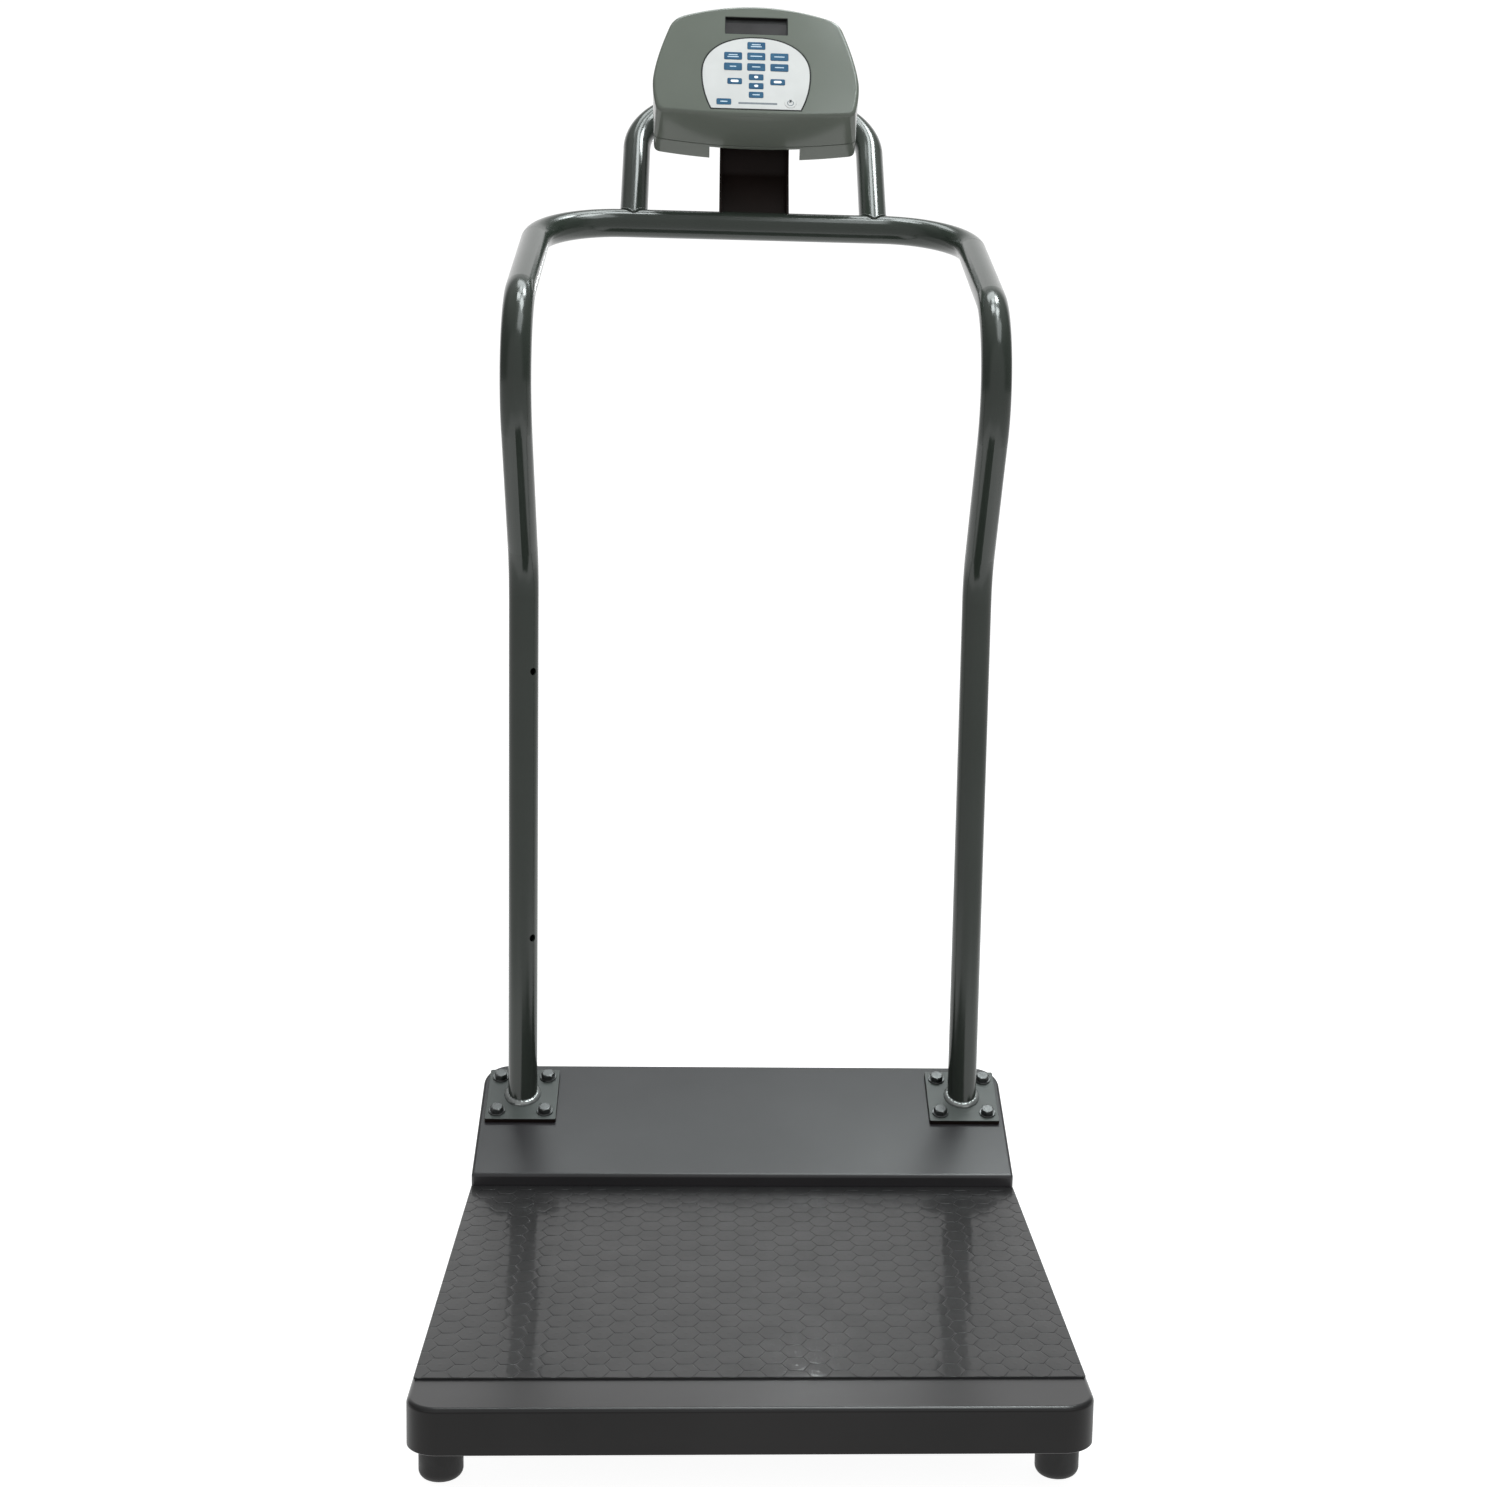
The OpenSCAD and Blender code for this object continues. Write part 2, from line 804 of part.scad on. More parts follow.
// Flange plate with the weld bead round the post
module flange(side) {
    color(paint_green)
        difference() {
            on_cover()
                translate([side * rail_x, plate_s, 0])
                    difference() {
                        union() {
                            linear_extrude(plate_t)
                                rounded_rect(plate_w, plate_l, plate_corner_r);
                            translate([0, 0, plate_t])
                                rotate_extrude()
                                    translate([tube_od / 2, 0])
                                        circle(r = bead_r);
                        }
                        at_flange_bolts()
                            translate([0, 0, -cut])
                                cylinder(d = bolt_d + 2 * bolt_play, h = plate_t + 2 * cut);
                        translate([0, 0, -plate_t])
                            cube([plate_w, plate_l, 2 * plate_t], center = true);
                    }
            translate([side * rail_x, post_y, 0])
                difference() {
                    cylinder(d = tube_od, h = knee_z);
                    below_plate_top();
                }
        }
}
// Everything below the upper face of the flange plates
module below_plate_top() {
    reach = platform_w;
    translate([0, -post_y, 0])
        on_cover()
            translate([-reach, plate_s - reach, plate_t - reach])
                cube([2 * reach, 2 * reach, reach]);
}
module flange_bolts() {
    grip = plate_t + cover_t + anchor_t;
    color(zinc_grey)
        at_flanges()
            at_flange_bolts()
                translate([0, 0, plate_t + washer_t]) {
                    hexagon(bolt_head_af, bolt_head_h);
                    translate([0, 0, -grip - washer_t - nut_h - bolt_tail])
                        cylinder(d = bolt_d, h = grip + washer_t + nut_h + bolt_tail);
                }
}
module flange_washers() {
    color(bare_steel)
        at_flanges()
            at_flange_bolts()
                translate([0, 0, plate_t])
                    difference() {
                        cylinder(d = washer_d, h = washer_t);
                        translate([0, 0, -cut])
                            cylinder(d = bolt_d + 2 * bolt_play, h = washer_t + 2 * cut);
                    }
}
module flange_nuts() {
    color(zinc_grey)
        at_flanges()
            at_flange_bolts()
                translate([0, 0, -cover_t - anchor_t - nut_h])
                    difference() {
                        hexagon(bolt_head_af, nut_h);
                        translate([0, 0, -cut])
                            cylinder(d = bolt_d + 2 * run_play, h = nut_h + 2 * cut);
                    }
}

// Handrail: one tube from post to post
function rail_side(foot_z) = [
    [rail_x, post_y, foot_z],
    [rail_x, post_y, knee_z],
    [rail_x, post_y - front_reach, front_bend_z],
    [rail_x, bar_y, bar_z]
];
function rail_path(foot_z) = concat(rail_side(foot_z), mirrored(rail_side(foot_z)));
module handrail_tube() {
    foot_z = plate_top_z - tube_od / 2;
    color(paint_green)
        difference() {
            bent_bar(rail_path(foot_z), tube_od, bend_r);
            bent_bar(rail_path(foot_z - cut), tube_od - 2 * tube_wall, bend_r);
            translate([0, post_y, 0])
                below_plate_top();
            for (z = [post_hole_low, post_hole_high])
                translate([-rail_x, post_y, z])
                    rotate([90, 0, 45])
                        cylinder(d = post_hole_d, h = tube_od);
        }
}

// Head arch: bent tube whose legs are cut to sit on the crossbar
module head_arch() {
    up = [0, sin(arch_lean), cos(arch_lean)];
    right = [[arch_gap / 2, bar_y, bar_z], [arch_gap / 2, bar_y, bar_z] + up * arch_l];
    path = concat(right, mirrored(right));
    color(paint_green)
        difference() {
            bent_bar(path, tube_od, arch_bend_r);
            bent_bar(path, tube_od - 2 * tube_wall, arch_bend_r);
            crossbar(platform_w);
        }
}
module crossbar(l) {
    translate([-l / 2, bar_y, bar_z])
        rotate([0, 90, 0])
            cylinder(d = tube_od, h = l);
}

// Head bracket: channel from the crossbar to the tilt pin
low_leg = unit([pivot_back, bracket_bend_up]);
low_side = [-low_leg[1], low_leg[0]];
mitre = unit(low_side + [-1, 0]);
// Point of the bracket's bend line moved forwards by d
function bend_point(d) = [pivot_back, bracket_bend_up] + mitre * (d / (mitre * low_side));
module bracket_strip(back, front, top_front, w) {
    rotate([90, 0, 90])
        translate([0, 0, -w / 2])
            linear_extrude(w)
                polygon([
                    low_side * back,
                    bend_point(back),
                    [pivot_back - back, pivot_up],
                    [pivot_back - top_front, pivot_up],
                    bend_point(front),
                    low_side * front
                ]);
}
module head_bracket() {
    half_t = bracket_t / 2;
    color(rubber_black)
        difference() {
            translate([0, bar_y, bar_z]) {
                bracket_strip(-half_t, half_t, half_t, bracket_w);
                for (x = [-1, 1])
                    translate([x * (bracket_w - bracket_t) / 2, 0, 0])
                        bracket_strip(-half_t, bracket_flange, knuckle_d / 2 - overlap, bracket_t);
                translate([-bracket_w / 2, pivot_back, pivot_up])
                    rotate([0, 90, 0])
                        cylinder(d = knuckle_d, h = bracket_w);
            }
            crossbar(platform_w);
            tilt_bore();
        }
}

// Tilt joint: pin, bushes and nuts
module on_pivot(x) {
    translate([x, pivot_y, pivot_z])
        rotate([0, 90, 0])
            children();
}
module tilt_bore() {
    on_pivot(-head_w / 2)
        cylinder(d = pin_d + 2 * run_play, h = head_w);
}
pin_tail = 1;
pin_l = notch_w + 2 * (pocket_wall + tilt_nut_h + pin_tail);
module tilt_pin() {
    color(bare_steel)
        on_pivot(-pin_l / 2)
            cylinder(d = pin_d, h = pin_l);
}
module tilt_bushes() {
    l = (notch_w - bracket_w) / 2 - 2 * bush_play;
    color(rubber_black)
        for (x = [-notch_w / 2 + bush_play, bracket_w / 2 + bush_play])
            on_pivot(x)
                difference() {
                    cylinder(d = bush_d, h = l);
                    translate([0, 0, -cut])
                        cylinder(d = pin_d + 2 * run_play, h = l + 2 * cut);
                }
}
module tilt_nuts() {
    x = notch_w / 2 + pocket_wall;
    color(zinc_grey)
        for (x0 = [-x - tilt_nut_h, x])
            on_pivot(x0)
                difference() {
                    hexagon(tilt_nut_af, tilt_nut_h);
                    translate([0, 0, -cut])
                        cylinder(d = pin_d + 2 * run_play, h = tilt_nut_h + 2 * cut);
                }
}

// Outline of the head at one depth: bowed bottom, swelling sides, crowned top
function mix(a, b, t) = a + (b - a) * t;
function square_of(x) = x * x;
function side_x(v, bottom_w) =
    v > widest_v
        ? mix(head_w, head_top_w, pow((v - widest_v) / (shoulder_v - widest_v), side_power)) / 2
        : mix(head_w, bottom_w, square_of((widest_v - v) / widest_v)) / 2;
function crown_v(x) = head_l - head_crown * square_of(2 * x / head_top_w);
function bottom_v_at(x, bottom_w, bow) = -bow * (1 - square_of(2 * x / bottom_w));
function half_outline(bottom_w, bow) = let (
    bottom_x = bottom_w / 2 - bottom_corner,
    corner_0 = [bottom_x, bottom_v_at(bottom_x, bottom_w, bow)],
    corner_1 = [bottom_w / 2, 0],
    corner_2 = [side_x(bottom_corner, bottom_w), bottom_corner],
    top_x = head_top_w / 2 - top_corner,
    top_v = shoulder_v - top_corner,
    top_0 = [side_x(top_v, bottom_w), top_v],
    top_1 = [side_x(shoulder_v, bottom_w), shoulder_v],
    top_2 = [top_x, crown_v(top_x)]
) concat(
    [for (i = [0 : edge_steps]) let (x = bottom_x * i / edge_steps) [x, bottom_v_at(x, bottom_w, bow)]],
    [for (i = [1 : corner_steps]) curve(corner_0, corner_1, corner_2, i / corner_steps)],
    [for (i = [1 : side_steps]) let (v = mix(bottom_corner, top_v, i / side_steps)) [side_x(v, bottom_w), v]],
    [for (i = [1 : corner_steps]) curve(top_0, top_1, top_2, i / corner_steps)],
    [for (i = [1 : edge_steps]) let (x = top_x * (1 - i / edge_steps)) [x, crown_v(x)]]
);
function full_outline(half) =
    concat(half, [for (i = [len(half) - 2 : -1 : 1]) [-half[i][0], half[i][1]]]);
// Outline at depth z behind the face, drawn in by inset on every side
function head_ring(z, inset) = let (
    t = min(1, -z / front_shell_d),
    mid = head_l / 2,
    bottom_w = mix(face_bottom_w, parting_bottom_w, t),
    bow = mix(face_bow, bottom_bow, t),
    outline = full_outline(half_outline(bottom_w, bow))
) [for (p = outline) [p[0] * (1 - 2 * inset / head_w), mid + (p[1] - mid) * (1 - inset / mid), z]];

// Solid through a list of rings with equal point counts, lowest ring first
module loft(rings) {
    n = len(rings[0]);
    last = len(rings) - 1;
    polyhedron(
        points = [for (ring = rings, p = ring) p],
        faces = concat(
            [[for (i = [0 : n - 1]) i]],
            [[for (i = [n - 1 : -1 : 0]) last * n + i]],
            [for (k = [0 : last - 1], i = [0 : n - 1])
                [k * n + i, (k + 1) * n + i, (k + 1) * n + (i + 1) % n]],
            [for (k = [0 : last - 1], i = [0 : n - 1])
                [k * n + i, (k + 1) * n + (i + 1) % n, k * n + (i + 1) % n]]
        )
    );
}

// Front shell of the head: lofted housing with window frame, keypad recess, bosses and board posts
module front_outer() {
    loft(concat(
        [head_ring(-front_shell_d, 0)],
        [for (i = [0 : bevel_steps]) let (a = 90 * i / bevel_steps)
            head_ring(-face_edge_r * (1 - sin(a)), face_edge_r * (1 - cos(a)))]
    ));
}
module front_inner() {
    loft([
        head_ring(-front_shell_d - cut, shell_wall),
        head_ring(-2 * face_wall, shell_wall),
        head_ring(-face_wall, shell_wall + face_edge_r)
    ]);
}
module at_screws() {
    for (p = SCREWS)
        translate([p[0], p[1], 0])
            children();
}
module window_hole(margin, z, h) {
    translate([-window_w / 2 - margin, window_low - margin, z])
        cube([window_w + 2 * margin, window_h + 2 * margin, h]);
}
module head_front_shell() {
    post_x = board_w / 2 - board_post_in;
    color(olive_plastic)
        in_head()
            difference() {
                union() {
                    difference() {
                        front_outer();
                        front_inner();
                    }
                    window_hole(window_frame, -window_recess, window_recess - overlap);
                    at_screws()
                        translate([0, 0, -front_shell_d])
                            cylinder(d = boss_d, h = front_shell_d - overlap);
                    for (x = [-post_x, post_x], v = [board_low + board_post_in, board_top - board_post_down])
                        translate([x, v, board_z])
                            cylinder(d = board_post_d, h = -board_z - recess_d - overlap);
                }
                window_hole(0, -window_recess - cut, window_recess + 2 * cut);
                translate([0, 0, -recess_d])
                    linear_extrude(recess_d + cut)
                        overlay_shape(overlay_gap);
                at_screws()
                    translate([0, 0, -front_shell_d - cut])
                        cylinder(d = pilot_d, h = screw_grip + cut);
            }
}

// Rear shell of the head: battery opening, bracket pocket between the ears, screw bosses
module rear_outer() {
    loft(concat(
        [for (i = [bevel_steps : -1 : 0]) let (a = 90 * i / bevel_steps)
            head_ring(-head_d + rear_edge_r * (1 - sin(a)), rear_edge_r * (1 - cos(a)))],
        [head_ring(-front_shell_d, 0)]
    ));
}
module rear_inner() {
    loft([
        head_ring(-head_d + shell_wall, shell_wall + rear_edge_r / 2),
        head_ring(-head_d + shell_wall + rear_edge_r, shell_wall),
        head_ring(-front_shell_d + cut, shell_wall)
    ]);
}
module pocket(side, roof, floor_z) {
    translate([-notch_w / 2 - side, -head_l / 2, -head_d - cut])
        cube([notch_w + 2 * side, head_l / 2 + pocket_top + roof, head_d + cut + floor_z]);
}
module tray_box(margin, z, h) {
    translate([-tray_w / 2 - margin, tray_v - tray_h / 2 - margin, z])
        cube([tray_w + 2 * margin, tray_h + 2 * margin, h]);
}
module head_rear_shell() {
    color(olive_plastic)
        in_head()
            difference() {
                union() {
                    difference() {
                        rear_outer();
                        rear_inner();
                    }
                    intersection() {
                        rear_outer();
                        pocket(pocket_wall, shell_wall, pocket_floor + shell_wall);
                    }
                    at_screws()
                        translate([0, 0, -head_d + overlap])
                            cylinder(d = boss_d, h = rear_shell_d - overlap);
                }
                pocket(0, 0, pocket_floor);
                tray_box(set_play, -head_d - cut, shell_wall + 2 * cut);
                at_screws()
                    translate([0, 0, -head_d - cut]) {
                        cylinder(d = screw_d + 2 * set_play, h = rear_shell_d + 2 * cut);
                        cylinder(d = screw_head_d + 2 * set_play, h = screw_sink + cut);
                    }
                translate([inlet_x, inlet_v, -head_d - cut])
                    cylinder(d = inlet_d, h = shell_wall + 2 * cut);
                translate([-head_w / 2, pivot_v, pivot_w])
                    rotate([0, 90, 0])
                        translate([0, 0, head_w / 2 - notch_w / 2 - pocket_wall - cut])
                            cylinder(d = pin_d + 2 * run_play, h = notch_w + 2 * pocket_wall + 2 * cut);
            }
}
module head_screws() {
    color(zinc_grey)
        in_head()
            at_screws()
                translate([0, 0, -head_d + screw_sink]) {
                    translate([0, 0, -screw_head_h])
                        cylinder(d = screw_head_d, h = screw_head_h);
                    cylinder(d = screw_d, h = rear_shell_d - screw_sink + screw_grip - cut);
                }
}

// Display: window, module and main board, stacked behind the window frame
module display_window() {
    color(window_dark)
        in_head()
            window_hole(lens_lip, -window_recess - lens_t, lens_t);
}
module display_module() {
    color(display_grey)
        in_head()
            window_hole(lens_lip, board_z, module_t);
}
module main_board() {
    color(board_green)
        in_head()
            translate([-board_w / 2, board_low, board_z - board_t])
                cube([board_w, board_top - board_low, board_t]);
}

// Keypad: arched outline, circuit layer with domes, overlay with one opening for each key
function rounded_power(x) = sign(x) * pow(abs(x), 2 / overlay_power);
module overlay_shape(margin) {
    half_w = overlay_w / 2 + margin;
    arch = overlay_arch + margin;
    side_r = overlay_side_r + margin;
    offset_x = overlay_side_r - overlay_w / 2;
    translate([0, overlay_mid]) {
        polygon([
            for (i = [0 : overlay_steps])
                let (a = 180 * i / overlay_steps)
                    [half_w * rounded_power(cos(a)), arch * rounded_power(sin(a))]
        ]);
        intersection() {
            translate([-offset_x, 0])
                circle(r = side_r);
            translate([offset_x, 0])
                circle(r = side_r);
            translate([-half_w, overlay_low - overlay_mid - margin])
                square([2 * half_w, overlay_mid - overlay_low + margin]);
        }
    }
}
module key_shape(k, margin) {
    translate([k[0], k[1]])
        rounded_rect(k[2] + 2 * margin, k[3] + 2 * margin, key_corner_r + margin);
}
module keypad_circuit() {
    dome_d = small_key_h - 2 * dome_in;
    color(alloy)
        in_head()
            translate([0, 0, -recess_d]) {
                linear_extrude(circuit_t)
                    overlay_shape(0);
                for (k = KEYS)
                    translate([k[0], k[1], 0])
                        cylinder(d = dome_d, h = circuit_t + dome_h);
                translate([power_key_x, bottom_v, 0])
                    cylinder(d = dome_d, h = circuit_t + dome_h);
            }
}
module keypad_overlay() {
    color(overlay_white)
        in_head()
            translate([0, 0, -overlay_t])
                difference() {
                    linear_extrude(overlay_t)
                        overlay_shape(0);
                    translate([0, 0, -cut]) {
                        for (k = KEYS)
                            linear_extrude(overlay_t + 2 * cut)
                                key_shape(k, key_play);
                        translate([power_key_x, bottom_v, 0])
                            cylinder(d = power_key_d + 2 * key_play, h = overlay_t + 2 * cut);
                    }
                }
}
module key(i) {
    color(key_blue)
        in_head()
            translate([0, 0, key_bottom])
                linear_extrude(key_t)
                    key_shape(KEYS[i], 0);
}
module key_power() {
    color(overlay_white)
        in_head()
            translate([power_key_x, bottom_v, key_bottom])
                cylinder(d = power_key_d, h = key_t);
}

// Battery tray, batteries and the door that slides up the back
module battery_tray() {
    color(rubber_black)
        in_head()
            difference() {
                tray_box(0, -head_d, tray_d);
                tray_box(-tray_wall, -head_d - cut, tray_d - tray_wall + cut);
            }
}
module batteries() {
    z = -head_d + tray_d - tray_wall - cell_aa_d / 2;
    color(alloy)
        in_head()
            for (bank = [0 : aa_banks - 1], i = [0 : aa_in_bank - 1])
                translate([
                    (bank - aa_banks / 2) * aa_bank_l + aa_end_play,
                    tray_v + (i - (aa_in_bank - 1) / 2) * aa_pitch,
                    z
                ])
                    rotate([0, 90, 0])
                        cylinder(d = cell_aa_d, h = cell_aa_l);
}
module battery_door() {
    rib_w = tray_w / 3;
    color(olive_plastic)
        in_head() {
            tray_box(door_margin, -head_d - door_t, door_t);
            for (i = [0 : door_ribs - 1])
                translate([
                    -rib_w / 2,
                    tray_v - tray_h / 4 - i * door_rib_pitch,
                    -head_d - door_t - door_rib_h
                ])
                    cube([rib_w, door_rib_t, door_rib_h]);
        }
}

// Power inlet: barrel socket set in the back wall
module power_inlet() {
    color(rubber_black)
        in_head()
            translate([inlet_x, inlet_v, -head_d])
                difference() {
                    union() {
                        cylinder(d = inlet_d - 2 * set_play, h = shell_wall + cut);
                        translate([-inlet_box / 2, -inlet_box / 2, shell_wall])
                            cube([inlet_box, inlet_box, inlet_depth]);
                    }
                    difference() {
                        translate([0, 0, -cut])
                            cylinder(d = inlet_bore_d, h = inlet_depth);
                        translate([0, 0, inlet_pin_set])
                            cylinder(d = inlet_pin_d, h = inlet_depth);
                    }
                }
}

platform_deck();
base_frame();
frame_crossmembers();
platform_mat();
rear_cover();
summing_board();
load_cell(CORNERS[0]);  // load_cell_front_left
load_cell(CORNERS[1]);  // load_cell_front_right
load_cell(CORNERS[2]);  // load_cell_rear_left
load_cell(CORNERS[3]);  // load_cell_rear_right
load_cell_spacers();
load_cell_bolts();
foot_lock_nuts();
foot_pad(CORNERS[0]);  // foot_pad_front_left
foot_pad(CORNERS[1]);  // foot_pad_front_right
foot_pad(CORNERS[2]);  // foot_pad_rear_left
foot_pad(CORNERS[3]);  // foot_pad_rear_right
foot_stud(CORNERS[0]);  // foot_stud_front_left
foot_stud(CORNERS[1]);  // foot_stud_front_right
foot_stud(CORNERS[2]);  // foot_stud_rear_left
foot_stud(CORNERS[3]);  // foot_stud_rear_right
rail_anchor(-1);  // left_rail_anchor
rail_anchor(1);  // right_rail_anchor
flange(-1);  // left_flange
flange(1);  // right_flange
flange_bolts();
flange_washers();
flange_nuts();
handrail_tube();
head_arch();
head_bracket();
tilt_pin();
tilt_bushes();
tilt_nuts();
head_front_shell();
head_rear_shell();
head_screws();
display_window();
display_module();
main_board();
keypad_circuit();
keypad_overlay();
battery_tray();
batteries();
battery_door();
power_inlet();
key(0);  // key_top
key(1);  // key_row2_left
key(2);  // key_row2_mid
key(3);  // key_row2_right
key(4);  // key_row3_left
key(5);  // key_row3_mid
key(6);  // key_row3_right
key(7);  // key_up
key(8);  // key_down
key(9);  // key_lower_mid
key(10);  // key_side_left
key(11);  // key_side_right
key(12);  // key_bottom_left
key_power();
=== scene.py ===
import json
import math

import bmesh
import bpy
from mathutils import Matrix, Vector


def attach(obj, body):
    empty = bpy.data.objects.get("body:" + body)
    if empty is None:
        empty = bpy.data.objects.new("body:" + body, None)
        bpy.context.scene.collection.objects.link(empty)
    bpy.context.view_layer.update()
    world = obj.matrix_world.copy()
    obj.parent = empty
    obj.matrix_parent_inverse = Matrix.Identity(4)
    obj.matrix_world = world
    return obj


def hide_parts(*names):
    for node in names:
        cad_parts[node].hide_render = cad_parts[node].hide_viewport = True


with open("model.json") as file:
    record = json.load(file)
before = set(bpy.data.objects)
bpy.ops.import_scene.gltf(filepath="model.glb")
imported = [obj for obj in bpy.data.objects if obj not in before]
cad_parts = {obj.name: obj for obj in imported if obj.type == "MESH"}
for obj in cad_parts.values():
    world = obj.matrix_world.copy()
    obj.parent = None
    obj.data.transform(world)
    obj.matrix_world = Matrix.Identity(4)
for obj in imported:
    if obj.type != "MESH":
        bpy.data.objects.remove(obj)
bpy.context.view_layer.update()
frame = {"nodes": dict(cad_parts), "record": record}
nodes = frame["nodes"]
scene = bpy.context.scene

# Camera: fitted to the edges of deck, mat, cover, flanges and posts in the 1487 pixel photograph
PHOTO = 1487
FOCAL_PX = 2319.29
SENSOR_MM = 36
CENTRE_PX = (841.04, 751.86)
PITCH, YAW, ROLL = 0.148809, -0.059464, 0.022469
CAMERA_AT = Vector((-0.048335, -2.371760, 0.910384))


def make_camera():
    data = bpy.data.cameras.new("camera")
    cam = bpy.data.objects.new("camera", data)
    scene.collection.objects.link(cam)
    data.sensor_width = SENSOR_MM
    data.lens = FOCAL_PX * SENSOR_MM / PHOTO
    data.shift_x = (PHOTO / 2 - CENTRE_PX[0]) / PHOTO
    data.shift_y = (CENTRE_PX[1] - PHOTO / 2) / PHOTO
    to_view = Matrix(((1, 0, 0), (0, 0, -1), (0, 1, 0)))
    turn = Matrix.Rotation(ROLL, 3, "Z") @ Matrix.Rotation(PITCH, 3, "X")
    turn = turn @ Matrix.Rotation(YAW, 3, "Y") @ to_view
    right, down, ahead = turn.row[0].copy(), turn.row[1].copy(), turn.row[2].copy()
    cam.matrix_world = Matrix.Translation(CAMERA_AT) @ Matrix((right, -down, -ahead)).transposed().to_4x4()
    scene.camera = cam


make_camera()

# Sizes of the part in millimetres
MM = 0.001
PLATFORM_W, PLATFORM_TOP, SKIRT_H = 580, 82, 41
CORNER_R, EDGE_R, SHEET_T = 28, 4.5, 2.5
MAT_INSET, MAT_T = 1.5, 2
COVER_D, COVER_RISE, COVER_SLOPE = 171, 14, math.radians(22.3)
COVER_FRONT_R, COVER_EDGE_R = 3, 3
Y_FRONT, Y_MAT, Y_COVER, Y_REAR = -543.3, -484.3, 5.7, 176.7
PLATE_W, PLATE_L, PLATE_T, PLATE_FROM_REAR = 77, 85, 5, 15
TUBE_R = 31.75 / 2
RAIL_X, BAR_Y, BAR_Z = 243.5, 360.603, 1110.28
ARCH_X, ARCH_LEAN = 138, math.radians(47)
BRACKET_W, BRACKET_T, BRACKET_FLANGE, BRACKET_BEND_UP = 80, 3, 14, 62
PIVOT_BACK, PIVOT_UP, KNUCKLE_R = 40, 110, 5.5
PIVOT = Vector((0, BAR_Y + PIVOT_BACK, BAR_Z + PIVOT_UP))
PIVOT_V, PIVOT_W = 25, -67.2842
FACE_LEAN = math.radians(32)
HEAD_W, HEAD_L, FACE_BOTTOM_W, HEAD_TOP_W = 235, 152, 222, 191
HEAD_CROWN, FRONT_D, REAR_D, BOTTOM_BOW, FACE_BOW = 20, 50, 26, 10, 4.5
FACE_EDGE_R, REAR_EDGE_R, PARTING_BOTTOM_W = 4, 3, 232
WIDEST_V, SIDE_POWER, BOTTOM_CORNER, TOP_CORNER = 42, 1.5, 7, 12
HEAD_D = FRONT_D + REAR_D
NOTCH_W, POCKET_TOP, POCKET_FLOOR = 104, 42, -54
WINDOW_W, WINDOW_H, WINDOW_LOW, WINDOW_RECESS, WINDOW_R = 72, 24.5, 110.5, 3.5, 1.2
OVERLAY_W, OVERLAY_MID, OVERLAY_ARCH, OVERLAY_LOW = 122, 54, 50.5, 4.5
OVERLAY_SIDE_R, OVERLAY_POWER, OVERLAY_GAP = 122, 2.2, 1.7
LARGE_KEY, SMALL_KEY = (20.5, 10.5), (16.6, 8.4)
KEYS = {
    "key_top": (0, 93.8, *LARGE_KEY),
    "key_row2_left": (-26.5, 78.6, *LARGE_KEY),
    "key_row2_mid": (0, 78.6, *LARGE_KEY),
    "key_row2_right": (26.5, 78.6, *LARGE_KEY),
    "key_row3_left": (-26.5, 63.4, *LARGE_KEY),
    "key_row3_mid": (0, 63.4, *LARGE_KEY),
    "key_row3_right": (26.5, 63.4, *LARGE_KEY),
    "key_up": (0, 49, *SMALL_KEY),
    "key_down": (0, 36.5, *SMALL_KEY),
    "key_lower_mid": (0, 24, *SMALL_KEY),
    "key_side_left": (-24.5, 42.75, *SMALL_KEY),
    "key_side_right": (24.5, 42.75, *SMALL_KEY),
    "key_bottom_left": (-36.5, 13.5, *SMALL_KEY),
}
POWER_KEY = (39, 13.5, 13)
KEY_LOW, KEY_TOP = -0.85, 0.35
SCREWS = ((-97, 22), (97, 22), (-88, 112), (88, 112))
INLET = (76, 46, 4.5)
DOOR_W, DOOR_H, DOOR_T, DOOR_V = 112, 54, 2, 98
TRAY_W, TRAY_H = 106.6, 48.6

# Frames in which pieces are drawn
HEAD_UP = Vector((0, math.sin(FACE_LEAN), math.cos(FACE_LEAN)))
HEAD_OUT = Vector((0, -math.cos(FACE_LEAN), math.sin(FACE_LEAN)))
SLOPE_UP = Vector((0, math.cos(COVER_SLOPE), math.sin(COVER_SLOPE)))
SLOPE_OUT = Vector((0, -math.sin(COVER_SLOPE), math.cos(COVER_SLOPE)))
PLATE_S = COVER_D / math.cos(COVER_SLOPE) - PLATE_FROM_REAR - PLATE_L / 2


def basis(origin, x, y, z):
    return Matrix.Translation(origin) @ Matrix((x, y, z)).transposed().to_4x4()


X_AXIS = Vector((1, 0, 0))
HEAD = basis(PIVOT - PIVOT_V * HEAD_UP - PIVOT_W * HEAD_OUT, X_AXIS, HEAD_UP, HEAD_OUT)
SLOPE = basis(Vector((0, Y_COVER, PLATFORM_TOP + COVER_RISE)), X_AXIS, SLOPE_UP, SLOPE_OUT)


# Mesh helpers
def loft(rings, cap_first=True, cap_last=True):
    n = len(rings[0])
    verts = [tuple(p) for ring in rings for p in ring]
    faces = []
    for k in range(len(rings) - 1):
        for i in range(n):
            j = (i + 1) % n
            faces.append((k * n + i, k * n + j, (k + 1) * n + j, (k + 1) * n + i))
    if cap_first:
        faces.append(tuple(range(n - 1, -1, -1)))
    if cap_last:
        faces.append(tuple(range((len(rings) - 1) * n, len(rings) * n)))
    return verts, faces


def join(*shapes):
    verts, faces = [], []
    for v, f in shapes:
        start = len(verts)
        verts += v
        faces += [tuple(i + start for i in face) for face in f]
    return verts, faces


def moved(shape, matrix):
    return [tuple(matrix @ Vector(p)) for p in shape[0]], shape[1]


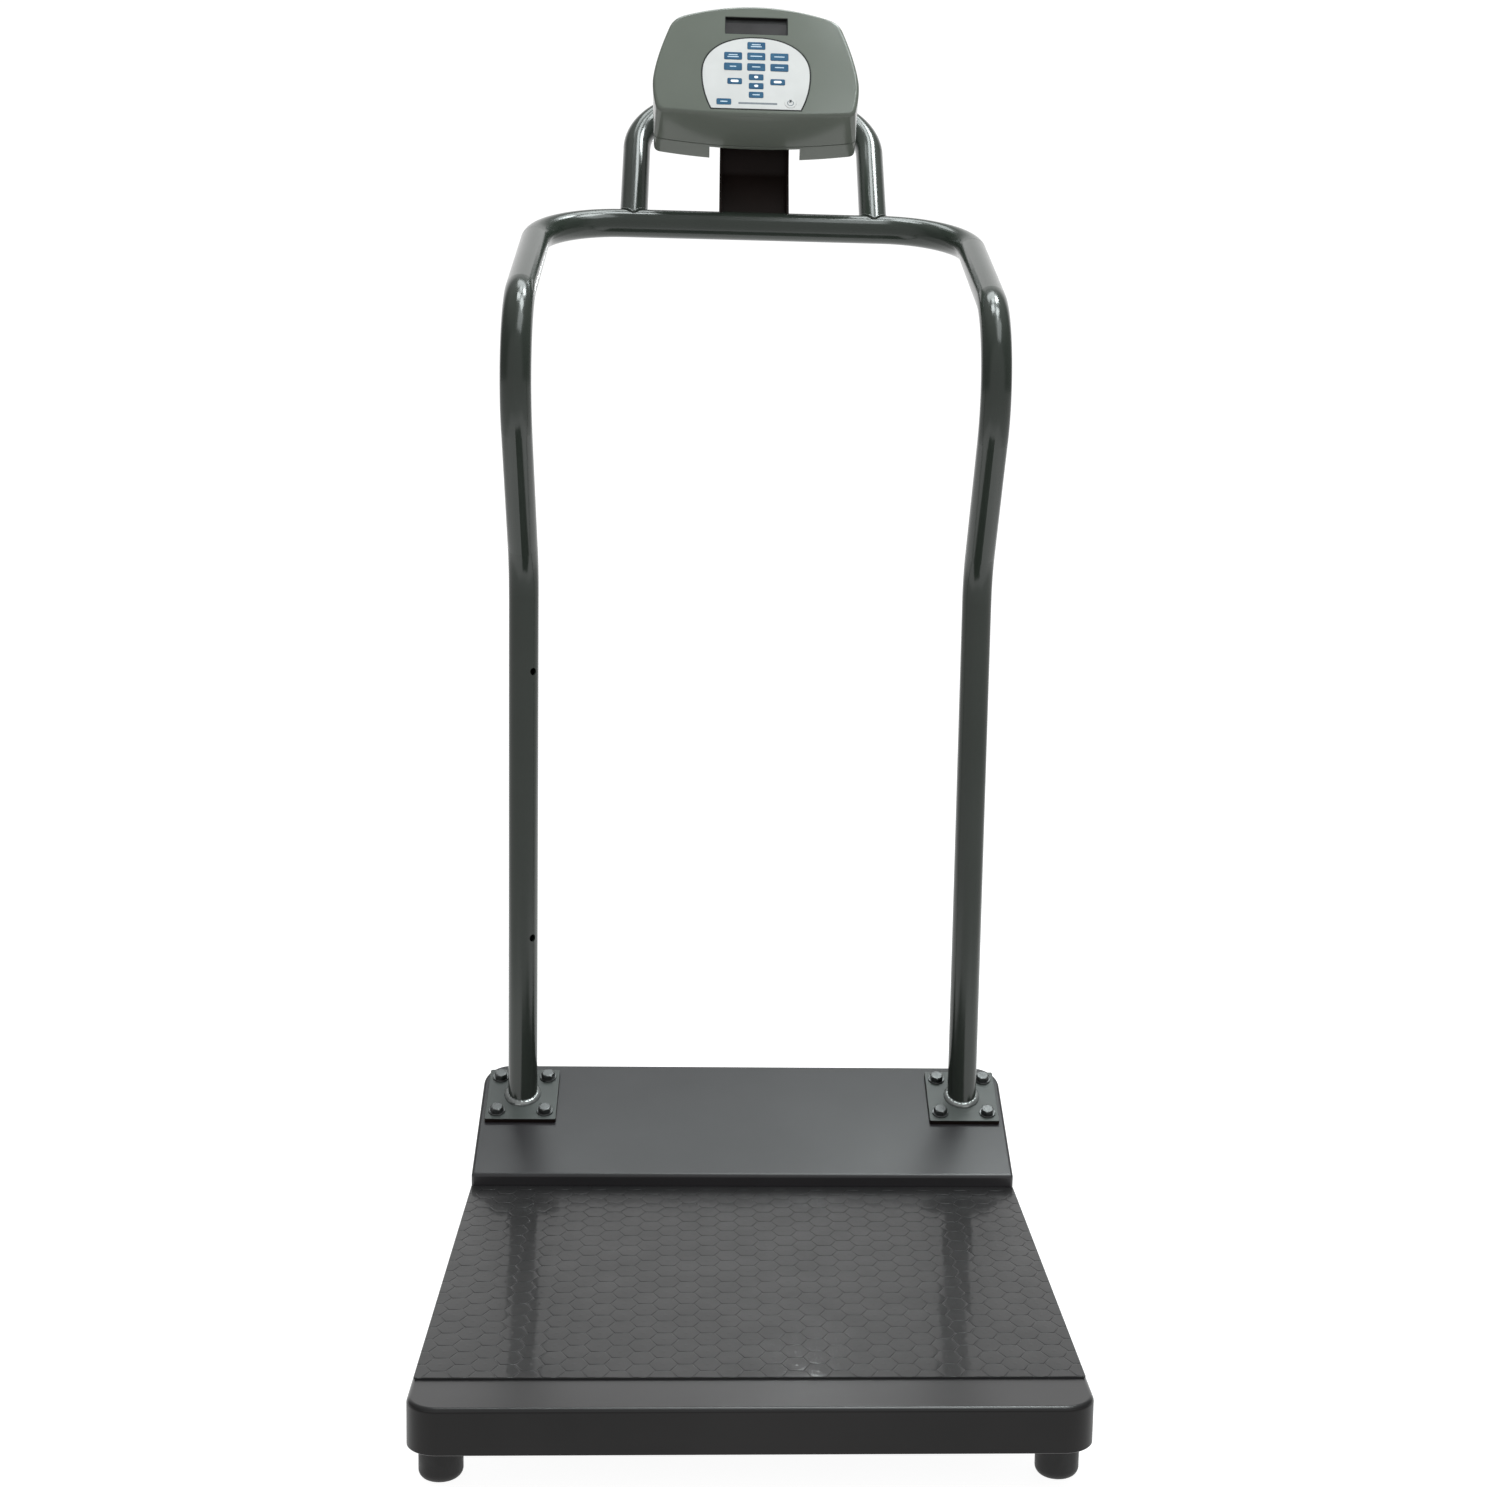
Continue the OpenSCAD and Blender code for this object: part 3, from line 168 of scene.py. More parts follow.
def new_object(name, shape, matrix=None):
    verts, faces = moved(shape, matrix) if matrix else shape
    mesh = bpy.data.meshes.new(name)
    mesh.from_pydata([tuple(c * MM for c in p) for p in verts], [], faces)
    mesh.update()
    bm = bmesh.new()
    bm.from_mesh(mesh)
    bmesh.ops.recalc_face_normals(bm, faces=bm.faces)
    bm.to_mesh(mesh)
    bm.free()
    obj = bpy.data.objects.new(name, mesh)
    scene.collection.objects.link(obj)
    return obj


def smooth(obj, angle=32):
    """Smooth shading in which large flat faces stay flat beside their rounded edges."""
    obj.data.shade_smooth()
    obj.data.set_sharp_from_angle(angle=math.radians(angle))
    mod = obj.modifiers.new("flat_faces", "WEIGHTED_NORMAL")
    mod.mode = "FACE_AREA"
    mod.keep_sharp = True
    bpy.context.view_layer.update()
    settle(obj)


def settle(obj):
    graph = bpy.context.evaluated_depsgraph_get()
    mesh = bpy.data.meshes.new_from_object(obj.evaluated_get(graph))
    old = obj.data
    obj.modifiers.clear()
    obj.data = mesh
    bpy.data.meshes.remove(old)


def cut(obj, *cutters):
    for cutter in cutters:
        mod = obj.modifiers.new("cut", "BOOLEAN")
        mod.operation = "DIFFERENCE"
        mod.solver = "EXACT"
        mod.object = cutter
        bpy.context.view_layer.update()
        settle(obj)
        mesh = cutter.data
        bpy.data.objects.remove(cutter)
        bpy.data.meshes.remove(mesh)


def piece(name, shape, body, material, matrix=None, replaces=(), angle=32):
    obj = new_object(name, shape, matrix)
    dress(obj, body, material, replaces, angle)
    return obj


def dress(obj, body, material, replaces=(), angle=32):
    obj.data.materials.clear()
    obj.data.materials.append(material)
    smooth(obj, angle)
    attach(obj, body)
    if replaces:
        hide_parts(*replaces)


def arc(cx, cy, r, a0, a1, n):
    angles = [a0 + (a1 - a0) * i / n for i in range(n + 1)]
    return [(cx + r * math.cos(a), cy + r * math.sin(a)) for a in angles]


def rounded_box_outline(x0, x1, y0, y1, radii, n=8):
    """Counter-clockwise outline; radii for the corners front right, rear right, rear left, front left."""
    fr, rr, rl, fl = radii
    q = math.pi / 2
    return (arc(x1 - fr, y0 + fr, fr, -q, 0, n) + arc(x1 - rr, y1 - rr, rr, 0, q, n)
            + arc(x0 + rl, y1 - rl, rl, q, 2 * q, n) + arc(x0 + fl, y0 + fl, fl, 2 * q, 3 * q, n))


def at_z(outline, z):
    return [(x, y, z) for x, y in outline]


def box_outline(w, h, r, n=5, cx=0, cy=0):
    return rounded_box_outline(cx - w / 2, cx + w / 2, cy - h / 2, cy + h / 2, (r,) * 4, n)


EDGE_STEPS = 4


def soft_slab(w, h, r, z0, z1, edge, cx=0, cy=0, n=6):
    """Rounded slab whose upper edge is rounded off."""
    rings = [at_z(box_outline(w, h, r, n, cx, cy), z0)]
    for i in range(EDGE_STEPS + 1):
        a = math.pi / (2 * EDGE_STEPS) * i
        d = edge * (1 - math.cos(a))
        outline = box_outline(w - 2 * d, h - 2 * d, max(r - d, 0.05), n, cx, cy)
        rings.append(at_z(outline, z1 - edge * (1 - math.sin(a))))
    return loft(rings)


def circle(cx, cy, r, n=32):
    angles = [2 * math.pi * i / n for i in range(n)]
    return [(cx + r * math.cos(a), cy + r * math.sin(a)) for a in angles]


def revolve(profile, n=40, cx=0, cy=0):
    return loft([at_z(circle(cx, cy, r, n), z) for r, z in profile])


def frames_along(path):
    """Two cross vectors at each point of a closed path, carried along without twist."""
    pts = [Vector(p) for p in path]
    n = len(pts)
    dirs = [(pts[(i + 1) % n] - pts[i - 1]).normalized() for i in range(n)]
    side = dirs[0].orthogonal().normalized()
    out = []
    for i in range(n):
        if i:
            side = dirs[i - 1].rotation_difference(dirs[i]) @ side
        side = (side - side.dot(dirs[i]) * dirs[i]).normalized()
        out.append((pts[i], side, dirs[i].cross(side)))
    return out


def tube(path, radius, sides=24):
    """Closed round bar along a ring-shaped path; radius is a function of the point's index."""
    rings = []
    for i, (p, u, w) in enumerate(frames_along(path)):
        rings.append([tuple(p + radius(i) * (math.cos(a) * u + math.sin(a) * w))
                      for a in (2 * math.pi * k / sides for k in range(sides))])
    verts, faces = loft(rings, False, False)
    last = (len(rings) - 1) * sides
    end = Vector(rings[-1][0])
    shift = min(range(sides), key=lambda k: (Vector(rings[0][k]) - end).length)
    for i in range(sides):
        faces.append((last + i, last + (i + 1) % sides, (i + 1 + shift) % sides, (i + shift) % sides))
    return verts, faces


def bezier(p0, p1, p2, t):
    return tuple((1 - t) ** 2 * a + 2 * t * (1 - t) * b + t * t * c for a, b, c in zip(p0, p1, p2))


def area(poly):
    return sum(p[0] * q[1] - q[0] * p[1] for p, q in zip(poly, poly[1:] + poly[:1])) / 2


def inset_convex(poly, d):
    out = []
    n = len(poly)
    for i in range(n):
        a, b, c = Vector(poly[i - 1]), Vector(poly[i]), Vector(poly[(i + 1) % n])
        e, f = (b - a).normalized(), (c - b).normalized()
        m = Vector((-e.y, e.x)) + Vector((-f.y, f.x))
        out.append(tuple(b + m * (d / max(m.dot(Vector((-e.y, e.x))), 0.2))))
    return out


# Materials
NOISE_STOPS, NOISE_SPAN = (0.35, 0.65), (0.3, 0.7)
GLOSS_PATCH = 2.7
LINE_STRETCH, LINE_SCALE, TARNISH, TARNISH_SCALE = (1, 1, 14), 220, 0.8, 35
WALL_LIMIT = 0.3


def shader(name, color, rough, metal=0.0, **sockets):
    mat = bpy.data.materials.new(name)
    mat.use_nodes = True
    tree = mat.node_tree
    bsdf = tree.nodes["Principled BSDF"]
    bsdf.inputs["Base Color"].default_value = (*color, 1)
    bsdf.inputs["Roughness"].default_value = rough
    bsdf.inputs["Metallic"].default_value = metal
    for key, value in sockets.items():
        bsdf.inputs[key.replace("_", " ").title().replace("Ior", "IOR")].default_value = value
    return mat, tree, bsdf


def coords(tree):
    return tree.nodes.new("ShaderNodeTexCoord").outputs["Object"]


def noise(tree, scale, detail=3, rough=0.55, vector=None):
    node = tree.nodes.new("ShaderNodeTexNoise")
    node.inputs["Scale"].default_value = scale
    node.inputs["Detail"].default_value = detail
    node.inputs["Roughness"].default_value = rough
    tree.links.new(vector or coords(tree), node.inputs["Vector"])
    return node.outputs["Fac"]


def ramp(tree, fac, low, high):
    node = tree.nodes.new("ShaderNodeValToRGB")
    for stop, place, color in zip(node.color_ramp.elements, NOISE_STOPS, (low, high)):
        stop.position = place
        stop.color = (*color, 1)
    tree.links.new(fac, node.inputs["Fac"])
    return node.outputs["Color"]


def fade(tree, source, start, end, low, high, curve="LINEAR"):
    """Change from low to high while the source goes from start to end."""
    node = tree.nodes.new("ShaderNodeMapRange")
    node.interpolation_type = curve
    for name, v in (("From Min", start), ("From Max", end), ("To Min", low), ("To Max", high)):
        node.inputs[name].default_value = v
    tree.links.new(source, node.inputs["Value"])
    return node.outputs["Result"]


def calc(tree, operation, *values):
    """One step of arithmetic on sockets and plain numbers."""
    node = tree.nodes.new("ShaderNodeMath")
    node.operation = operation
    for socket, value in zip(node.inputs, values):
        if isinstance(value, float):
            socket.default_value = value
        else:
            tree.links.new(value, socket)
    return node.outputs["Value"]


def bump(tree, bsdf, height, strength, distance):
    node = tree.nodes.new("ShaderNodeBump")
    node.inputs["Strength"].default_value = strength
    node.inputs["Distance"].default_value = distance
    tree.links.new(height, node.inputs["Height"])
    tree.links.new(node.outputs["Normal"], bsdf.inputs["Normal"])


def coat(name, dark, light, rough, patch, grain, grain_strength, grain_depth, metal=0.0, **sockets):
    """Paint, plastic or rubber: cloudy colour, uneven gloss and a fine surface grain."""
    mat, tree, bsdf = shader(name, dark, rough[0], metal, **sockets)
    tree.links.new(ramp(tree, noise(tree, patch, 4), dark, light), bsdf.inputs["Base Color"])
    gloss = fade(tree, noise(tree, patch * GLOSS_PATCH, 3), *NOISE_SPAN, *rough)
    tree.links.new(gloss, bsdf.inputs["Roughness"])
    bump(tree, bsdf, noise(tree, grain, 2), grain_strength, grain_depth)
    return mat


def brushed(name, color, rough_a, rough_b):
    """Machined or plated metal with fine directional lines."""
    mat, tree, bsdf = shader(name, color, rough_a, 1.0)
    stretch = tree.nodes.new("ShaderNodeMapping")
    stretch.inputs["Scale"].default_value = LINE_STRETCH
    tree.links.new(coords(tree), stretch.inputs["Vector"])
    lines = noise(tree, LINE_SCALE, 4, 0.6, stretch.outputs["Vector"])
    tree.links.new(fade(tree, lines, *NOISE_SPAN, rough_a, rough_b), bsdf.inputs["Roughness"])
    dark = tuple(c * TARNISH for c in color)
    tree.links.new(ramp(tree, noise(tree, TARNISH_SCALE, 4), dark, color), bsdf.inputs["Base Color"])
    bump(tree, bsdf, lines, 0.15, 0.0002)
    return mat


def second_material(obj, material, normal):
    """Gives a material to the faces that stand nearly square to a direction."""
    obj.data.materials.append(material)
    for face in obj.data.polygons:
        face.material_index = 1 if abs(face.normal.dot(normal)) < WALL_LIMIT else 0


# Each coat: name, darker and lighter colour, range of roughness,
# scale of the cloudy patches, scale of the grain, its strength and its depth in metres
DECK = coat("powder_coat", (0.012, 0.0115, 0.012), (0.016, 0.0155, 0.0165), (0.28, 0.31),
            6, 900, 0.06, 0.0002, specular_ior_level=0.46)
# Deck walls: a darker, less shiny copy of the deck paint, which is painted shade on the walls
SKIRT_PAINTED_SHADE = coat("skirt_coat_painted_shade", (0.010, 0.0095, 0.0095), (0.014, 0.013, 0.013), (0.36, 0.42),
             6, 900, 0.08, 0.0003, specular_ior_level=0.2)
MAT_RUBBER = coat("mat_rubber", (0.014, 0.014, 0.0145), (0.019, 0.0185, 0.019), (0.38, 0.46),
                  9, 1500, 0.10, 0.0002, specular_ior_level=0.18, coat_weight=0.28, coat_roughness=0.08)
RAIL = coat("rail_enamel", (0.024, 0.031, 0.025), (0.029, 0.036, 0.030), (0.15, 0.18),
            8, 260, 0.04, 0.0004, specular_ior_level=0.52)
# Flange plates: the rail enamel made rougher, in a lighter colour that is painted light on the plates'
# tops
FLANGE_PAINTED_LIGHT = coat("flange_enamel_painted_light", (0.066, 0.076, 0.071), (0.084, 0.096, 0.092), (0.36, 0.42),
              10, 400, 0.06, 0.0004)
# Weld beads round the posts: a pale, glossy colour, which is a painted highlight on the enamelled bead
WELD_PAINTED_HIGHLIGHT = coat("weld_painted_highlight", (0.26, 0.275, 0.27), (0.34, 0.355, 0.35), (0.16, 0.24),
            40, 600, 0.1, 0.0004, 0.6)
# Rear cover: a lighter copy of the deck powder coat, which is painted light on the slope
COVER_PAINTED_LIGHT = coat("cover_coat_painted_light", (0.0275, 0.0262, 0.0285), (0.0355, 0.034, 0.0368), (0.28, 0.31),
             6, 900, 0.06, 0.0002, specular_ior_level=0.46)
# Black paint of the head bracket, also put on the flange plates' edges as painted shade
BLACK_PAINT_AND_SHADE = coat("bracket_black_and_edge_shade", (0.010, 0.0065, 0.0055), (0.014, 0.009, 0.008), (0.40, 0.50),
                   12, 1200, 0.1, 0.0002, specular_ior_level=0.1)
SHELL = coat("shell_metallic", (0.117, 0.130, 0.111), (0.123, 0.136, 0.117), (0.13, 0.14),
             14, 2600, 0.05, 0.0001, specular_ior_level=0.32)
OVERLAY = coat("overlay_film", (0.545, 0.545, 0.54), (0.585, 0.585, 0.58), (0.40, 0.46),
               25, 3000, 0.03, 0.0001, specular_ior_level=0.06)
KEY_BLUE = coat("key_blue", (0.018, 0.074, 0.150), (0.028, 0.100, 0.182), (0.40, 0.46),
                60, 3000, 0.03, 0.0001, specular_ior_level=0.08)
PRINT_PALE = coat("print_pale", (0.42, 0.54, 0.64), (0.48, 0.60, 0.70), (0.35, 0.45),
                  200, 4000, 0.02, 0.0001)
PRINT_WHITE = coat("print_white", (0.80, 0.83, 0.86), (0.86, 0.88, 0.90), (0.35, 0.45),
                   200, 4000, 0.02, 0.0001)
PRINT_GREY = coat("print_grey", (0.09, 0.11, 0.13), (0.13, 0.15, 0.17), (0.35, 0.45),
                  200, 4000, 0.02, 0.0001)
WINDOW = coat("window_tint", (0.039, 0.037, 0.038), (0.048, 0.046, 0.047), (0.16, 0.22),
              30, 200, 0.02, 0.0003, specular_ior_level=0.12)
DISPLAY = coat("display_grey", (0.11, 0.12, 0.10), (0.14, 0.15, 0.13), (0.35, 0.5),
               40, 1500, 0.05, 0.0001)
BLACK_PLASTIC = coat("black_plastic", (0.014, 0.014, 0.015), (0.022, 0.022, 0.023), (0.42, 0.55),
                     30, 2200, 0.15, 0.0002)
# Black of the window gasket, also used for the painted shadow strip in the window and the painted shadow
# in the gap round the overlay
GASKET_AND_SHADE = coat("gasket_and_shade_black", (0.006, 0.006, 0.006), (0.009, 0.009, 0.009), (0.55, 0.65),
              30, 2200, 0.15, 0.0002, specular_ior_level=0.2)
FOOT_RUBBER = coat("foot_rubber", (0.010, 0.010, 0.010), (0.014, 0.0135, 0.0135), (0.45, 0.6),
                   30, 1400, 0.2, 0.0003, specular_ior_level=0.3)
BOARD = coat("board_green", (0.02, 0.10, 0.045), (0.03, 0.13, 0.06), (0.3, 0.45),
             60, 900, 0.1, 0.0002)
BATTERY = coat("battery_sleeve", (0.10, 0.10, 0.11), (0.13, 0.12, 0.11), (0.2, 0.3),
               40, 1200, 0.03, 0.0001, 0.4)
ZINC = brushed("dark_zinc", (0.15, 0.155, 0.155), 0.26, 0.36)
STEEL = brushed("bare_steel", (0.52, 0.53, 0.54), 0.28, 0.42)
ALLOY = brushed("alloy", (0.70, 0.72, 0.74), 0.3, 0.45)

BY_SLOT = {
    "deck_paint": DECK,
    "mat_rubber": MAT_RUBBER,
    "rail_paint": RAIL,
    "bracket_paint": BLACK_PAINT_AND_SHADE,
    "zinc": ZINC,
    "bare_steel": STEEL,
    "alloy": ALLOY,
    "circuit_board": BOARD,
    "head_shell": SHELL,
    "overlay_film": OVERLAY,
    "key_film": KEY_BLUE,
    "window": WINDOW,
    "display": DISPLAY,
    "black_plastic": BLACK_PLASTIC,
    "foot_rubber": FOOT_RUBBER,
    "battery": BATTERY,
}
for part in frame["record"]["subparts"]:
    obj = nodes[part["node"]]
    obj.data.materials.clear()
    obj.data.materials.append(BY_SLOT[part["material_slot"]])


# Platform deck
def deck_ring(inset, z):
    half = PLATFORM_W / 2
    outline = rounded_box_outline(-half + inset, half - inset, Y_FRONT + inset, Y_REAR - inset,
                                  (CORNER_R - inset,) * 4, 14)
    return at_z(outline, z)


def make_deck():
    low = PLATFORM_TOP - SKIRT_H
    inner, outer, steps = 0.4, 0.5, 8
    rings = [deck_ring(SHEET_T, PLATFORM_TOP - SHEET_T), deck_ring(SHEET_T, low + inner),
             deck_ring(SHEET_T - inner, low), deck_ring(outer, low), deck_ring(0, low + outer)]
    for i in range(steps + 1):
        a = math.pi / 2 * i / steps
        rings.append(deck_ring(EDGE_R * (1 - math.cos(a)), PLATFORM_TOP - EDGE_R * (1 - math.sin(a))))
    deck = piece("deck_sheet", loft(rings), "base", DECK, replaces=("platform_deck",))
    # The walls take the darker copy of the deck paint: painted shade
    second_material(deck, SKIRT_PAINTED_SHADE, Vector((0, 0, 1)))


make_deck()


# Rear cover
def cover_ring(inset, drop):
    """Ring of the cover: at its foot when drop is None, or else that far below the slope."""
    half = PLATFORM_W / 2 - MAT_INSET - inset
    front_r, rear_r = max(COVER_FRONT_R - inset, 0.5), CORNER_R - inset
    outline = rounded_box_outline(-half, half, Y_COVER + inset, Y_REAR - inset,
                                  (front_r, rear_r, rear_r, front_r), 12)
    if drop is None:
        return at_z(outline, PLATFORM_TOP)
    top = PLATFORM_TOP + COVER_RISE
    return [(x, y, top + (y - Y_COVER) * math.tan(COVER_SLOPE) - drop) for x, y in outline]


def make_cover():
    rings, steps = [cover_ring(0, None)], 6
    for i in range(steps + 1):
        a = math.pi / 2 * i / steps
        rings.append(cover_ring(COVER_EDGE_R * (1 - math.cos(a)), COVER_EDGE_R * (1 - math.sin(a))))
    # The cover takes the lighter copy of the deck paint: painted light
    piece("cover_sheet", loft(rings), "base", COVER_PAINTED_LIGHT, replaces=("rear_cover",))


make_cover()


# Mat: hexagon pads with narrow grooves, cut off at the edges of the sheet
HEXAGON = ((1, 0), (0.5, 0.5), (-0.5, 0.5), (-1, 0), (-0.5, -0.5), (0.5, -0.5))
PAD_SIDE, PAD_PITCH, PAD_DOME, PAD_NUB, SMALLEST_PAD = 12.8, 27.3, 0.06, 0.10, 25
GROOVE_W, GROOVE_DEPTH, MAT_CORNER_R, MAT_EDGE_R, MAT_GAP = 0.55, 0.26, 3, 1.1, 0.5
PAD_COLUMNS, PAD_ROWS = range(-16, 17), range(-1, 20)
WHOLE_PAD = 1.49 * PAD_SIDE * PAD_PITCH
PAD_SINK, DOME_START, DOME_STEP, DOME_STEPS = 0.05, 1.1, 2.2, 4
# Steps of a pad's rim: distance in from the groove, height against the rim
PAD_STEPS = ((0.2, -0.08), (0.55, -0.02), (DOME_START, 0))
# Rings of the nub: part of the pad's size, part of the nub's height
NUB_RINGS = ((0.2, 0), (0.1, 0.65))


def clip(poly, axis, limit, keep_below):
    out = []
    for i, p in enumerate(poly):
        q = poly[(i + 1) % len(poly)]
        p_in = (p[axis] <= limit) == keep_below
        q_in = (q[axis] <= limit) == keep_below
        if p_in:
            out.append(p)
        if p_in != q_in:
            t = (limit - p[axis]) / (q[axis] - p[axis])
            out.append((p[0] + t * (q[0] - p[0]), p[1] + t * (q[1] - p[1])))
    return out


def shrunk(poly, d):
    """Outline drawn towards its middle, for the cut-off pads with sharp corners."""
    n = len(poly)
    cx, cy = sum(p[0] for p in poly) / n, sum(p[1] for p in poly) / n
    around = sum((Vector(p) - Vector(q)).length for p, q in zip(poly, poly[1:] + poly[:1]))
    k = max(0.1, 1 - d * around / (2 * area(poly)))
    return [(cx + (x - cx) * k, cy + (y - cy) * k) for x, y in poly]


def pad(cx, cy, poly, rim, floor_z):
    """One pad: a domed hexagon with a small nub, or a flat piece of one at the sheet's edge."""
    wall, top = GROOVE_W / 2, rim + PAD_DOME
    steps = [(wall, floor_z - PAD_SINK)] + [(wall + d, rim + z) for d, z in PAD_STEPS]
    if area(poly) <= WHOLE_PAD:
        return loft([at_z(shrunk(poly, d), z) for d, z in steps], False, True)
    for i in range(1, DOME_STEPS):
        rise = PAD_DOME * (1 - (1 - i / DOME_STEPS) ** 2)
        steps.append((wall + DOME_START + DOME_STEP * i, rim + rise))
    rings = [at_z(inset_convex(poly, d), z) for d, z in steps]
    for size, part in NUB_RINGS:
        z = top + part * PAD_NUB
        rings.append([(cx + size * (x - cx), cy + size * (y - cy), z) for x, y in poly])
    verts, faces = loft(rings, False, False)
    n, last = len(poly), (len(rings) - 1) * len(poly)
    verts.append((cx, cy, top + PAD_NUB))
    faces += [(last + i, last + (i + 1) % n, len(verts) - 1) for i in range(n)]
    return verts, faces


def make_mat():
    half = PLATFORM_W / 2 - MAT_INSET
    front, rear = Y_MAT, Y_COVER - MAT_GAP
    rim = PLATFORM_TOP + MAT_T - PAD_DOME - PAD_NUB
    floor_z = rim - GROOVE_DEPTH
    limits = (0, half, True), (0, -half, False), (1, rear, True), (1, front, False)
    shapes = [soft_slab(2 * half, rear - front, MAT_CORNER_R, PLATFORM_TOP, floor_z, MAT_EDGE_R,
                        0, (front + rear) / 2)]
    for col in PAD_COLUMNS:
        for row in PAD_ROWS:
            cx = col * 1.5 * PAD_SIDE
            cy = front + row * PAD_PITCH + (PAD_PITCH / 2 if col % 2 else 0)
            poly = [(cx + PAD_SIDE * dx, cy + PAD_PITCH * dy) for dx, dy in HEXAGON]
            for axis, limit, below in limits:
                poly = clip(poly, axis, limit, below) if len(poly) > 2 else []
            if len(poly) > 2 and area(poly) >= SMALLEST_PAD:
                shapes.append(pad(cx, cy, poly, rim, floor_z))
    piece("mat_pads", join(*shapes), "base", MAT_RUBBER, replaces=("platform_mat",), angle=50)


make_mat()


# Flange plates with weld beads, bolts and washers
BEAD_R, BEAD_LIFT, BEAD_TURNS = 4.2, 0.2, 72
PLATE_CORNER_R, PLATE_EDGE_R = 2, 0.6


def bead_radius(i):
    return BEAD_R + 0.15 * math.sin(i * 1.9) + 0.08 * math.sin(i * 4.3)


def make_flanges():
    bead_path = []
    for i in range(BEAD_TURNS):
        a = 2 * math.pi * i / BEAD_TURNS
        x, y = TUBE_R * math.cos(a), TUBE_R * math.sin(a)
        bead_path.append((x, y / math.cos(COVER_SLOPE), PLATE_T + BEAD_LIFT))
    for name, side in (("left", -1), ("right", 1)):
        centre = SLOPE @ Vector((side * RAIL_X, PLATE_S, 0))
        place = basis(centre, X_AXIS, SLOPE_UP, SLOPE_OUT)
        shape = soft_slab(PLATE_W, PLATE_L, PLATE_CORNER_R, 0, PLATE_T, PLATE_EDGE_R)
        # The plates take the lighter copy of the rail enamel: painted light
        plate = piece(name + "_flange_plate", shape, "base", FLANGE_PAINTED_LIGHT, place,
                      replaces=(name + "_flange",))
        # The plates' edges take the black paint: painted shade
        second_material(plate, BLACK_PAINT_AND_SHADE, SLOPE_OUT)
        # The beads take the pale colour: painted highlight
        piece(name + "_weld_bead", tube(bead_path, bead_radius, 16), "base", WELD_PAINTED_HIGHLIGHT, place)


make_flanges()


# Bolt head: chamfer as part of the half width, crown as part of the chamfer, slope and drops
CHAMFER_R, CROWN_R, CHAMFER_SLOPE, CHAMFER_DROP, CROWN_DROP = 0.93, 0.86, 0.5, 0.35, 0.1


def hex_bolt(af, h, n=48):
    """Hexagon head with the usual round chamfer on its top."""
    rings = [[], [], [], []]
    flat_r = af / 2 * CHAMFER_R
    for i in range(n):
        a = 2 * math.pi * i / n
        r = af / 2 / math.cos((a + math.pi / 6) % (math.pi / 3) - math.pi / 6)
        c, s = math.cos(a), math.sin(a)
        heights = (0, h - CHAMFER_DROP - max(0, r - flat_r) * CHAMFER_SLOPE, h - CROWN_DROP, h)
        for ring, rr, z in zip(rings, (r, r, flat_r, flat_r * CROWN_R), heights):
            ring.append((rr * c, rr * s, z))
    return loft(rings)


BOLT_DX, BOLT_DY, BOLT_AF, BOLT_H, SHANK_R, SHANK_L, WASHER_T = 26, 29, 13, 5.28, 4, 20, 1.6
FIRST_TURN, NEXT_TURN = 0.4, 0.77
BOLT_PLACES = [(s * RAIL_X + dx, PLATE_S + dy)
               for s in (-1, 1) for dx in (-BOLT_DX, BOLT_DX) for dy in (-BOLT_DY, BOLT_DY)]
WASHER = ((4.3, 0), (8.8, 0), (9.1, 0.3), (9.1, 1.2), (8.7, WASHER_T), (4.3, WASHER_T))
SHANK = ((0.01, -SHANK_L), (SHANK_R, -SHANK_L), (SHANK_R, 0), (0.01, 0))


def make_bolts():
    heads, washers = [], []
    for i, (x, y) in enumerate(BOLT_PLACES):
        turn = Matrix.Rotation(FIRST_TURN + i * NEXT_TURN, 4, "Z")
        place = SLOPE @ Matrix.Translation((x, y, PLATE_T))
        washers.append(moved(revolve(WASHER), place))
        head = join(hex_bolt(BOLT_AF, BOLT_H), revolve(SHANK, 24))
        heads.append(moved(head, place @ Matrix.Translation((0, 0, WASHER_T)) @ turn))
    piece("bolt_heads", join(*heads), "base", ZINC, replaces=("flange_bolts",))
    piece("bolt_washers", join(*washers), "base", ZINC, replaces=("flange_washers",))


make_bolts()


# Weld beads where the arch stands on the crossbar
ARCH_BEAD_R, ARCH_BEAD_TURNS, LEAST_RISE = 2.0, 80, 0.05


def arch_bead_radius(i):
    return ARCH_BEAD_R + 0.3 * math.sin(i * 2.1) + 0.15 * math.sin(i * 5.3)


def make_arch_welds():
    up = Vector((0, math.sin(ARCH_LEAN), math.cos(ARCH_LEAN)))
    across = X_AXIS.cross(up)
    beads = []
    for side in (-1, 1):
        foot = Vector((side * ARCH_X, BAR_Y, BAR_Z))
        path = []
        for i in range(ARCH_BEAD_TURNS):
            a = 2 * math.pi * i / ARCH_BEAD_TURNS
            rise = max(abs(math.cos(a)), LEAST_RISE)
            path.append(foot + TUBE_R * (math.cos(a) * X_AXIS + math.sin(a) * across + rise * up))
        beads.append(tube(path, arch_bead_radius, 12))
    piece("arch_weld_beads", join(*beads), "base", RAIL)


make_arch_welds()


# Head bracket: channel bent from sheet, with a rounded bend and rounded flange edges
LOW_LEG = Vector((PIVOT_BACK, BRACKET_BEND_UP)).normalized()
LOW_SIDE = Vector((-LOW_LEG.y, LOW_LEG.x))


